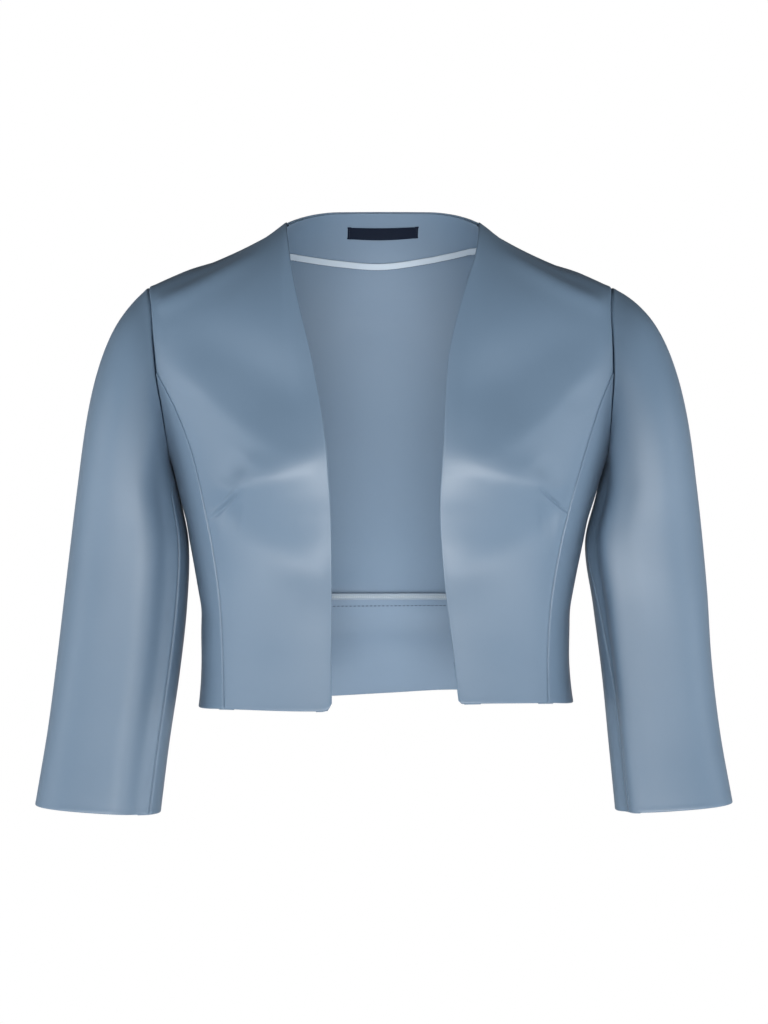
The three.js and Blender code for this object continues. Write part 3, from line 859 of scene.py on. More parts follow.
@dataclass(frozen=True)
class BackPanel(BodyPanel):
    """The back, cut in one piece from hem to shoulders and neck."""

    notch_share: float = 0.66

    def level(self, across: Array, v: Array) -> Array:
        """Level of a place: the neck edge lowers the top between the neck points."""
        x = np.abs(across) * BODY.shoulder_reach
        neck = BODY.level_of(Face.BACK, x, BODY.neck_edge.at(x))
        top = np.where(x >= BODY.neck_half_width, 2.0, neck)
        notch = BODY.notch_level(Face.BACK)
        above = (v - self.notch_share) / (1 - self.notch_share)
        return np.where(v < self.notch_share, notch * v / self.notch_share, mix(notch, top, above))

    def at(self, across: Array, level: Array) -> Array:
        """Point at a share across, from -1 to 1, and a level."""
        across, level = np.broadcast_arrays(np.asarray(across, float), np.asarray(level, float))
        sign = np.where(across < 0, -1.0, 1.0)
        reach = BODY.meet(Face.BACK, sign, level, lambda z: BODY.seam_x(Face.BACK, z))
        return BODY.point(Face.BACK, across * reach, level)

    def point(self, u: Array, v: Array) -> Array:
        """Points of the back; u runs from the wearer's right to the left."""
        across = 2 * np.asarray(u, float) - 1
        return self.at(across, self.level(across, np.asarray(v, float)))

    def neck_share(self, u: Array) -> Array:
        """Share of the top border that is neck edge, not shoulder seam."""
        x = np.abs(2 * u - 1) * BODY.shoulder_reach
        return 1 - smooth_step(BODY.neck_half_width - 3, BODY.neck_half_width + 1, x)

    def chart(self, u: Array, v: Array, points: Array) -> tuple[Array, Array]:
        """Distance from the middle line with its sign, and height."""
        return points[..., 0], points[..., 2]

    def creases(self) -> tuple[Crease, ...]:
        """Drags from the armholes and soft breaks above the waist."""
        return (
            Crease((-178, -128), (-96, -196), 17, -2.2, 6),
            Crease((172, -118), (104, -178), 14, -1.8, -5),
            Crease((-150, -160), (-92, -232), 12, 1.2, 4),
            Crease((-88, -316), (-8, -300), 11, -1.4, 4),
            Crease((14, -322), (86, -306), 13, -1.7, -4),
            Crease((-60, -344), (52, -338), 12, 1.0, 3),
            Crease((-84, -364), (-22, -372), 10, -0.9, -2),
            Crease((-36, -70), (30, -76), 16, 1.2, 3),
            Crease((-120, -60), (-168, -74), 12, -1.2, 2),
            Crease((118, -52), (176, -78), 11, -1.4, -3),
        )

    def fade(self, u: Array, v: Array) -> Array:
        """Folds end at the side-back seams, the armholes and the shoulder seams."""
        top = mix(smooth_step(0, 0.05, 1 - v), 1.0, self.neck_share(u))
        return smooth_step(0, 0.05, np.minimum(u, 1 - u)) * top


@dataclass(frozen=True)
class BandSurface(BodyPanel):
    """A band on the inside of the back between two heights.

    Attributes:
        back: the panel that it lies on.
        reach: half its width as a share of the back's.
        low: level of its lower edge at a share across.
        high: level of its upper edge.
        stand_low: how far its lower edge stands off the back.
        stand_high: how far its upper edge stands off the back.
    """

    back: BackPanel
    reach: float
    low: Callable[[Array], Array]
    high: Callable[[Array], Array]
    stand_low: float = 0.0
    stand_high: float = 0.0

    def point(self, u: Array, v: Array) -> Array:
        """Points of the back's outer face behind the band."""
        u, v = np.broadcast_arrays(np.asarray(u, float), np.asarray(v, float))
        across = self.reach * (2 * u - 1)
        return self.back.at(across, mix(self.low(across), self.high(across), v))

    def chart(self, u: Array, v: Array, points: Array) -> tuple[Array, Array]:
        """The back's own chart."""
        return self.back.chart(u, v, points)

    def creases(self) -> tuple[Crease, ...]:
        """The back's own folds, so that the band follows them."""
        return self.back.creases()

    def lift(self, u: Array, v: Array, points: Array) -> Array:
        """The back's folds, less the stand of a free edge."""
        stand = self.stand_low * (1 - v) ** 3 + self.stand_high * v**3
        if self.stand_low == self.stand_high:
            stand = self.stand_low
        return super().lift(u, v, points) - stand


@dataclass(frozen=True)
class BackBands:
    """Heights of the facings, bindings and label on the inside of the back.

    Attributes:
        binding: width of both bindings.
        tape_inset: how far the flat of the tape stays inside that width.
        stand: how far a bound edge stands off the back.
        neck_raise: how far the neck facing's lower edge lies above the solid's.
        neck_tilt: rise of that edge towards the wearer's left.
        hem_top: upper edge of the hem binding.
        stitch_drop: distance of the topstitching below the hem binding.
        facing_reach: half width of the neck facing as a share of the back's.
        label_half: half width of the label.
        label_span: bottom and top of the label as shares of the neck facing's height.
    """

    binding: float = 5.8
    tape_inset: float = 0.55
    stand: float = 1.5
    neck_raise: float = 1.3
    neck_tilt: float = 0.027
    hem_top: float = -307.0
    stitch_drop: float = 5.4
    facing_reach: float = 0.612
    label_half: float = 31.0
    label_span: tuple[float, float] = (0.43, 0.675)
    panel: BackPanel = BackPanel()

    def _x(self, across: Array) -> Array:
        """Distance from the middle line at a share across."""
        return np.abs(across) * (BODY.shoulder_reach - 2)

    def neck_line(self, across: Array, raised: float = 0.0) -> Array:
        """Level of the neck facing's lower edge, or of a line above it."""
        x = self._x(across)
        shift = self.neck_raise + self.neck_tilt * across * BODY.shoulder_reach
        shift *= 1 - smooth_step(84, 108, x)
        return BODY.level_of(Face.BACK, x, BODY.neck_facing_edge.at(x) + shift + raised)

    def top_line(self, across: Array) -> Array:
        """Level of the neck edge, and of the shoulder seam beyond it."""
        return self.panel.level(across, np.ones_like(across))

    def hem_line(self, across: Array, z: float) -> Array:
        """Level of a level line near the hem."""
        reach = BODY.seam_x(Face.BACK, np.full_like(across, z))
        return BODY.any_level(Face.BACK, across * reach, np.full_like(across, z))

    def label_line(self, across: Array, share: float) -> Array:
        """Level of a place on the neck facing above its binding."""
        return mix(self.neck_line(across, self.binding), self.top_line(across), share)

    def neck_facing(self) -> BandSurface:
        """Surface of the neck facing."""
        return BandSurface(
            self.panel,
            self.facing_reach,
            lambda a: self.neck_line(a, 1.0),
            self.top_line,
            stand_low=self.stand,
        )

    def neck_binding(self) -> BandSurface:
        """Surface of the binding on the neck facing's lower edge."""
        return BandSurface(
            self.panel,
            self.facing_reach,
            lambda a: self.neck_line(a, self.tape_inset),
            lambda a: self.neck_line(a, self.binding - self.tape_inset),
            stand_low=self.stand,
            stand_high=self.stand,
        )

    def hem_facing(self) -> BandSurface:
        """Surface of the hem facing."""
        return BandSurface(
            self.panel,
            0.985,
            np.zeros_like,
            lambda a: self.hem_line(a, self.hem_top - 1),
            stand_high=self.stand,
        )

    def hem_binding(self) -> BandSurface:
        """Surface of the binding on the hem facing's upper edge."""
        return BandSurface(
            self.panel,
            0.985,
            lambda a: self.hem_line(a, self.hem_top - self.binding + self.tape_inset),
            lambda a: self.hem_line(a, self.hem_top - self.tape_inset),
            stand_low=self.stand,
            stand_high=self.stand,
        )

    def label(self) -> BandSurface:
        """Surface of the label."""
        low, high = self.label_span
        return BandSurface(
            self.panel,
            self.label_half / (BODY.shoulder_reach - 2),
            lambda a: self.label_line(a, low),
            lambda a: self.label_line(a, high),
        )


# Sleeves

SHARES = (0, 0.16, 0.37, 0.58, 0.79, 1)  # places along a sleeve, from its cap to the cuff


@dataclass(frozen=True)
class ArmForm:
    """The sleeve tube from the upper arm to the cuff, each table read by share of its length.

    Attributes:
        outer_x: distance of its outer line from the middle of the body.
        outer_z: height of that line.
        inner_x: distance of its inner line.
        inner_z: height of the inner line.
        cap_out: how far outwards the cap leaves the shoulder.
        cap_down: how far downwards it leaves.
        seam_turn: turn of the seam from the outer line, in degrees, by share from the armhole.
        roundness: power of the rounded oblong round the arm.
        middle_y: its middle from front to back.
        half_depth: half its depth from front to back.
    """

    outer_x: Table
    outer_z: Table
    inner_x: Table
    inner_z: Table
    cap_out: float
    cap_down: float
    seam_turn: Table
    roundness: float = 2.35
    middle_y: Table = Table(SHARES, (-1, -2.5, -5.5, -12, -21, -30))
    half_depth: Table = Table(SHARES, (60, 57, 53.5, 49.5, 45, 42))


ARM_FORMS = {
    Side.RIGHT: ArmForm(
        outer_x=Table(SHARES, (257.8, 262.8, 269.8, 276.2, 283.2, 292)),
        outer_z=Table(SHARES, (-200, -240, -300, -360, -420, -479)),
        inner_x=Table(SHARES, (173.4, 166, 167.2, 173, 181, 187.4)),
        inner_z=Table(SHARES, (-222, -262, -315, -372, -430, -486)),
        cap_out=0.78,
        cap_down=0.62,
        seam_turn=Table((0, 0.2, 0.38, 0.6, 1), (180, 166, 153, 150, 148)),
    ),
    Side.LEFT: ArmForm(
        outer_x=Table(SHARES, (263.2, 267.8, 273.4, 276.6, 282.6, 291.8)),
        outer_z=Table(SHARES, (-200, -240, -300, -360, -420, -477)),
        inner_x=Table(SHARES, (180.2, 171, 177.6, 184.4, 189.4, 194)),
        inner_z=Table(SHARES, (-222, -262, -315, -372, -430, -484)),
        cap_out=0.98,
        cap_down=0.42,
        seam_turn=Table((0, 0.38, 0.6, 0.8, 1), (180, 176, 166, 154, 139)),
    ),
}


@dataclass(frozen=True)
class SleeveSurface(ClothSurface):
    """A set-in sleeve, from the armhole seam to the cuff.

    Attributes:
        side: the wearer's right or left.
        head_gap: how far its head stands out from the armhole edge.
        cap_share: share of v that the cap takes.
        armhole_half_depth: about half the armhole's depth, for the turns round it.
        bend_z: height above which the tube's middle line bends in to the shoulder.
        tube_length: about how far it runs down from there.
        shoulder: distance from the middle, and height, of the line's upper end.
    """

    side: Side
    head_gap: float = 0.4
    cap_share: float = 0.4
    armhole_half_depth: float = 52.0
    bend_z: float = -205.0
    tube_length: float = 280.0
    shoulder: tuple[float, float] = (190.0, -105.0)

    def _loop(self) -> tuple[Array, Array]:
        """Turns round the armhole and the points of its edge, dense enough to read between."""
        levels = np.linspace(0, 1, 90)
        parts = []
        for face in Face:
            level = mix(BODY.notch_level(face), 2.0, levels)
            x = BODY.meet(face, self.side.value, level, lambda z: BODY.seam_x(face, z))
            parts.append(BODY.point(face, self.side.value * x, level))
        parts.append(SidePanel(self.side).point(np.linspace(0, 1, 160), np.ones(160)))
        edge = np.concatenate(parts)
        tip = float(BODY.ridge(np.array(BODY.shoulder_reach)))
        middle = (tip + BODY.underarm_height) / 2
        turn = np.arctan2(-edge[:, 1] / self.armhole_half_depth, (edge[:, 2] - middle) / (tip - middle))
        order = np.argsort(turn)
        return turn[order], edge[order]

    def head(self, turn: Array) -> Array:
        """Points of the sleeve's head at turns from its top."""
        turns, edge = self._cached()
        wrapped = (turn + math.pi) % (2 * math.pi) - math.pi
        parts = [np.interp(wrapped, turns, edge[:, i], period=2 * math.pi) for i in range(3)]
        points = np.stack(parts, axis=-1)
        points[..., 0] += self.side.value * self.head_gap
        return points

    def _cached(self) -> tuple[Array, Array]:
        """The armhole edge, worked out once for each side."""
        if self.side not in ARMHOLE_EDGES:
            ARMHOLE_EDGES[self.side] = self._loop()
        return ARMHOLE_EDGES[self.side]

    def arm(self, along: Array, turn: Array) -> Array:
        """Points of the tube below the cap."""
        form = ARM_FORMS[self.side]
        outward, forward = (
            np.sign(part) * np.abs(part) ** (2 / form.roundness) for part in (np.cos(turn), np.sin(turn))
        )
        inward = (1 - outward) / 2
        x = self.side.value * mix(form.outer_x.at(along), form.inner_x.at(along), inward)
        y = form.middle_y.at(along) - forward * form.half_depth.at(along)
        return np.stack([x, y, mix(form.outer_z.at(along), form.inner_z.at(along), inward)], axis=-1)

    def cap(self, share: Array, turn: Array) -> Array:
        """Points of the cap, which leaves the armhole and bends down into the tube."""
        form = ARM_FORMS[self.side]
        head, end = self.head(turn), self.arm(np.zeros_like(turn), turn)
        reach = np.linalg.norm(end - head, axis=-1, keepdims=True)
        top = (1 + np.cos(turn)) / 2
        leave = np.stack(
            [
                self.side.value * mix(-0.3, form.cap_out, top**0.7),
                -np.sin(turn) * 0.45,
                -mix(0.95, form.cap_down, top),
            ],
            axis=-1,
        )
        leave = unit(leave) * reach
        arrive = unit(self.arm(np.full_like(turn, PROBE), turn) - end) * reach
        s = share[..., None]
        return (
            head * (2 * s**3 - 3 * s**2 + 1)
            + leave * (s**3 - 2 * s**2 + s)
            + end * (3 * s**2 - 2 * s**3)
            + arrive * (s**3 - s**2)
        )

    def turn(self, u: Array, v: Array) -> Array:
        """Turn from the sleeve's top or outer side; the seam is where u is 0 and 1."""
        seam = np.radians(ARM_FORMS[self.side].seam_turn.at(v))
        return seam - 2 * math.pi * u

    def point(self, u: Array, v: Array) -> Array:
        """Points of the sleeve; v runs from the cuff up to the armhole."""
        u, v = np.broadcast_arrays(np.asarray(u, float), np.asarray(v, float))
        down = 1 - v
        turn = self.turn(u, down)
        in_cap = self.cap(np.clip(down / self.cap_share, -0.01, 1.0), turn)
        in_arm = self.arm(np.clip((down - self.cap_share) / (1 - self.cap_share), 0.0, 1.01), turn)
        return np.where((down < self.cap_share)[..., None], in_cap, in_arm)

    def inside(self, points: Array) -> Array:
        """The middle line of the tube at each point's height."""
        form, z = ARM_FORMS[self.side], points[..., 2]
        above = z - self.bend_z
        along = np.clip(-above / self.tube_length, 0.0, 1.0)
        x = (form.outer_x.at(along) + form.inner_x.at(along)) / 2
        x = mix(x, self.shoulder[0], np.clip(above / 160, 0, 1))
        z = np.minimum(z, self.shoulder[1])
        return np.stack([self.side.value * x, form.middle_y.at(along), z], axis=-1)

    def chart(self, u: Array, v: Array, points: Array) -> tuple[Array, Array]:
        """Turn in degrees from the outer side, and height."""
        turn = np.degrees(self.turn(u, 1 - v))
        return (turn + 180) % 360 - 180, points[..., 2]

    def creases(self) -> tuple[Crease, ...]:
        """Soft lengthwise folds of a hanging sleeve and short breaks behind the elbow."""
        if self.side is Side.RIGHT:
            return (
                Crease((28, -46), (112, -72), 36, 7.0),
                Crease((105, -150), (103, -560), 14, 2.6),
                Crease((133, -190), (131, -560), 14, -3.8),
                Crease((52, -150), (66, -300), 20, -0.8, 4),
                Crease((28, -250), (20, -430), 18, -0.7, 4),
                Crease((74, -330), (84, -470), 20, -0.6, -4),
                Crease((-60, -150), (-74, -330), 15, -1.7, 5),
                Crease((-118, -300), (-70, -338), 12, -2.0, 4),
                Crease((-110, -352), (-64, -372), 10, 1.2, 3),
                Crease((-96, -380), (-84, -474), 15, 1.3, -3),
                Crease((-20, -330), (-34, -460), 16, 1.1, 3),
            )
        return (
            Crease((28, -44), (112, -70), 36, 8.0),
            Crease((130, -160), (128, -560), 12, 3.6),
            Crease((156, -190), (154, -560), 12, -4.0),
            Crease((58, -156), (50, -290), 20, -0.7, -4),
            Crease((22, -270), (34, -440), 18, -0.7, -4),
            Crease((84, -300), (70, -474), 20, -0.7, 4),
            Crease((-56, -140), (-64, -310), 15, -1.6, -5),
            Crease((-112, -310), (-62, -352), 12, -1.8, 4),
            Crease((-120, -366), (-76, -380), 10, 1.1, 2),
            Crease((-92, -400), (-78, -470), 15, -1.2, -3),
            Crease((-14, -300), (-26, -450), 16, 1.0, -3),
        )

    def fade(self, u: Array, v: Array) -> Array:
        """Folds end at the armhole."""
        return smooth_step(0, 0.12, 1 - v)


ARMHOLE_EDGES: dict[Side, tuple[Array, Array]] = {}


# Stitching


@dataclass(frozen=True)
class Stitch:
    """One visible stitch of thread.

    Attributes:
        length: of the part that shows.
        thickness: of the thread.
    """

    length: float = 2.4
    thickness: float = 0.42

    def add(self, bm: bmesh.types.BMesh, place: Array, along: Array, out: Array) -> None:
        """Add the stitch to a mesh.

        Args:
            bm: the mesh.
            place: its middle.
            along: direction of the seam.
            out: direction away from the cloth.
        """
        made = bmesh.ops.create_uvsphere(bm, u_segments=6, v_segments=5, radius=0.5)
        across = Vector(np.cross(out, along)).normalized()
        long_way, up = Vector(along).normalized(), Vector(out).normalized()
        middle = Vector(place)
        for vert in made["verts"]:
            x, y, z = vert.co
            sag = self.thickness * 0.5 * (2 * z) ** 2
            spot = middle + across * x * self.thickness + up * (y * self.thickness - sag)
            vert.co = (spot + long_way * z * self.length) * MM


@dataclass(frozen=True)
class StitchRow:
    """A row of stitches on a band inside the back.

    Attributes:
        surface: the band.
        start: where the row begins, as shares across and up the band.
        end: where it ends.
        count: number of stitches.
        sunk: how far the thread lies under the back's outer face.
        stitch: the stitch that it repeats.
    """

    surface: BandSurface
    start: tuple[float, float]
    end: tuple[float, float]
    count: int
    sunk: float
    stitch: Stitch = Stitch()

    def add(self, bm: bmesh.types.BMesh) -> None:
        """Add every stitch of the row.

        Args:
            bm: the mesh that they join.
        """
        shares = (np.arange(self.count) + 0.5) / self.count
        u = mix(self.start[0], self.end[0], shares)
        v = mix(self.start[1], self.end[1], shares)
        step_u = (self.end[0] - self.start[0]) * PROBE
        step_v = (self.end[1] - self.start[1]) * PROBE
        point = self.surface.point
        base = point(u, v)
        along = unit(point(u + step_u, v + step_v) - base)
        across = unit(point(u + PROBE, v) - base)
        up = unit(point(u, v + PROBE) - base)
        inward = unit(np.cross(across, up))
        facing = np.sum(inward * (base - self.surface.inside(base)), axis=-1, keepdims=True)
        inward = np.where(facing > 0, -inward, inward)
        lift = self.surface.lift(u, v, base)
        place = base + inward * (self.sunk - lift)[:, None]
        for where, way, out in zip(place, along, inward):
            self.stitch.add(bm, where, way, out)


# Finishes

Inputs = dict[str | int, Any]


def set_inputs(tree: bpy.types.NodeTree, node: bpy.types.Node, inputs: Inputs) -> None:
    """Give a node's inputs their values, or join them to the sockets that feed them.

    Args:
        tree: the node's tree.
        node: the node.
        inputs: a value or a socket for each input.
    """
    for key, value in inputs.items():
        if isinstance(value, bpy.types.NodeSocket):
            tree.links.new(value, node.inputs[key])
        else:
            node.inputs[key].default_value = value


def add_node(
    tree: bpy.types.NodeTree, kind: str, inputs: Optional[Inputs] = None, **settings: Any
) -> bpy.types.Node:
    """Add a shader node.

    Args:
        tree: the tree that it joins.
        kind: its type.
        inputs: a value or a socket for each input that differs from its default.
        settings: its own settings.

    Returns:
        The node.
    """
    node = tree.nodes.new(f"ShaderNode{kind}")
    for name, value in settings.items():
        setattr(node, name, value)
    set_inputs(tree, node, inputs or {})
    return node


def add_bump(
    tree: bpy.types.NodeTree,
    height: bpy.types.NodeSocket,
    strength: float,
    distance: float,
    under: Optional[bpy.types.NodeSocket] = None,
) -> bpy.types.NodeSocket:
    """Add a relief.

    Args:
        tree: the tree that it joins.
        height: what gives its height.
        strength: its strength.
        distance: its full height, in metres.
        under: a relief that it lies on.

    Returns:
        The socket with its normal.
    """
    inputs = {"Height": height, "Strength": strength, "Distance": distance}
    if under is not None:
        inputs["Normal"] = under
    return add_node(tree, "Bump", inputs).outputs["Normal"]


def plain_material(name: str) -> tuple[bpy.types.Material, bpy.types.NodeTree, bpy.types.Node]:
    """Make a material.

    Args:
        name: of the material.

    Returns:
        The material, its tree and its shader.
    """
    material = bpy.data.materials.new(name)
    material.use_nodes = True
    return material, material.node_tree, material.node_tree.nodes["Principled BSDF"]


@dataclass(frozen=True)
class SatinFinish:
    """Smooth satin weave with a soft broad shine.

    Attributes:
        name: name of the material.
        colour: base colour, linear.
        shade: the colour of its darker patches.
        roughness: of the shine.
        anisotropy: how far the shine stretches across the floats.
        sheen: strength of the edge sheen.
        thread: distance between threads, in metres.
        relief: strength of the weave's relief.
        gloss: strength of the shine.
        patch_scale: scale of the colour's patches.
        ripple_scale: scale of the cloth's faint ripples.
        ripple_relief: strength of their relief.
    """

    name: str
    colour: tuple[float, float, float]
    shade: tuple[float, float, float]
    roughness: float
    anisotropy: float
    sheen: float
    thread: float
    relief: float
    gloss: float = 0.55
    patch_scale: float = 9.0
    ripple_scale: float = 70.0
    ripple_relief: float = 0.25

    def make(self) -> bpy.types.Material:
        """Build the node material.

        Returns:
            The material.
        """
        material, tree, shader = plain_material(self.name)
        place = add_node(tree, "TexCoord").outputs["Object"]
        cloth = add_node(tree, "UVMap", uv_map="cloth").outputs["UV"]
        tangent = add_node(tree, "Tangent", direction_type="UV_MAP", uv_map="cloth")
        patches = add_node(tree, "TexNoise", {"Vector": place, "Scale": self.patch_scale, "Detail": 3.0})
        middle = {"Value": patches.outputs["Fac"], "From Min": 0.3, "From Max": 0.7}
        soft = add_node(tree, "MapRange", middle)
        tones = {"Factor": soft.outputs["Result"], "A": (*self.shade, 1.0), "B": (*self.colour, 1.0)}
        blend = add_node(tree, "Mix", tones, data_type="RGBA")

        across_and_along = (1 / self.thread, 0.12 / self.thread, 1.0)
        warp = add_node(tree, "Mapping", {"Vector": cloth, "Scale": across_and_along})
        floats = add_node(tree, "TexNoise", {"Vector": warp.outputs["Vector"], "Scale": 1.0, "Detail": 2.0})
        ripple = add_node(tree, "TexNoise", {"Vector": place, "Scale": self.ripple_scale, "Detail": 2.0})
        weave = add_bump(tree, floats.outputs["Fac"], self.relief, 0.0001)
        shape = add_bump(tree, ripple.outputs["Fac"], self.ripple_relief, 0.0004, weave)
        set_inputs(tree, shader, {
            "Base Color": blend.outputs["Result"],
            "Roughness": self.roughness,
            "Anisotropic": self.anisotropy,
            "Tangent": tangent.outputs["Tangent"],
            "Sheen Weight": self.sheen,
            "Sheen Roughness": 0.35,
            "Specular IOR Level": self.gloss,
            "Normal": shape,
        })
        return material


@dataclass(frozen=True)
class ThreadFinish:
    """Matt or softly shining woven thread.

    Attributes:
        name: name of the material.
        colour: base colour, linear.
        roughness: of the shine.
        sheen: strength of the edge sheen.
        rib: distance between the ribs of the weave, in metres.
        gloss: strength of the shine.
    """

    name: str
    colour: tuple[float, float, float]
    roughness: float
    sheen: float
    rib: float
    gloss: float = 0.3

    def make(self) -> bpy.types.Material:
        """Build the node material.

        Returns:
            The material.
        """
        material, tree, shader = plain_material(self.name)
        place = add_node(tree, "TexCoord").outputs["Object"]
        wave = {"Vector": place, "Scale": math.pi / 10 / self.rib, "Distortion": 0.4}
        ribs = add_node(tree, "TexWave", wave, bands_direction="Z")
        grain = add_node(tree, "TexNoise", {"Vector": place, "Scale": 1 / (self.rib * 2)})
        both = add_node(tree, "Math", {0: ribs.outputs["Fac"], 1: grain.outputs["Fac"]})
        set_inputs(tree, shader, {
            "Base Color": (*self.colour, 1.0),
            "Roughness": self.roughness,
            "Sheen Weight": self.sheen,
            "Specular IOR Level": self.gloss,
            "Normal": add_bump(tree, both.outputs["Value"], 0.4, 0.0001),
        })
        return material


SATIN = SatinFinish(
    "satin", (0.14, 0.21, 0.297), (0.13, 0.197, 0.281), 0.38, 0.55, 0.03, 0.00035, 0.2, 0.65
)
# The reverse is lighter than the face partly as the duller, lighter wrong side of satin and partly as
# painted light that brightens the dim inside of the back.
REVERSE = SatinFinish(
    "satin_reverse", (0.168, 0.247, 0.343), (0.158, 0.233, 0.328), 0.5, 0.3, 0.12, 0.0004, 0.25, 0.35
)
TAPE = SatinFinish("bias_tape", (0.29, 0.36, 0.43), (0.25, 0.31, 0.38), 0.56, 0.3, 0.1, 0.0003, 0.4, 0.4)
# Brighter copy of the bias tape for the neck binding, which is the same cloth as the hem tape: its lighter
# colour is a painted highlight.
NECK_TAPE_PAINTED_HIGHLIGHT = SatinFinish("neck_tape_painted_highlight", (0.53, 0.62, 0.71), (0.47, 0.56, 0.65), 0.5, 0.3, 0.1, 0.0003, 0.4)
LABEL = ThreadFinish("woven_label", (0.003, 0.008, 0.022), 0.6, 0.0, 0.0004, 0.12)
THREAD = ThreadFinish("sewing_thread", (0.035, 0.06, 0.105), 0.5, 0.0, 0.0003)
# Dark thread of the rows beside the tapes; its darkness also paints the shadow line along the tapes' edges.
TAPE_THREAD_AND_SHADOW = ThreadFinish("tape_thread_and_shadow", (0.05, 0.085, 0.14), 0.5, 0.0, 0.0003)
PALE_THREAD = ThreadFinish("pale_thread", (0.62, 0.7, 0.72), 0.4, 0.1, 0.0003)
LABEL_THREAD = ThreadFinish("label_thread", (0.02, 0.03, 0.055), 0.55, 0.2, 0.0003)


# Camera, light and floor


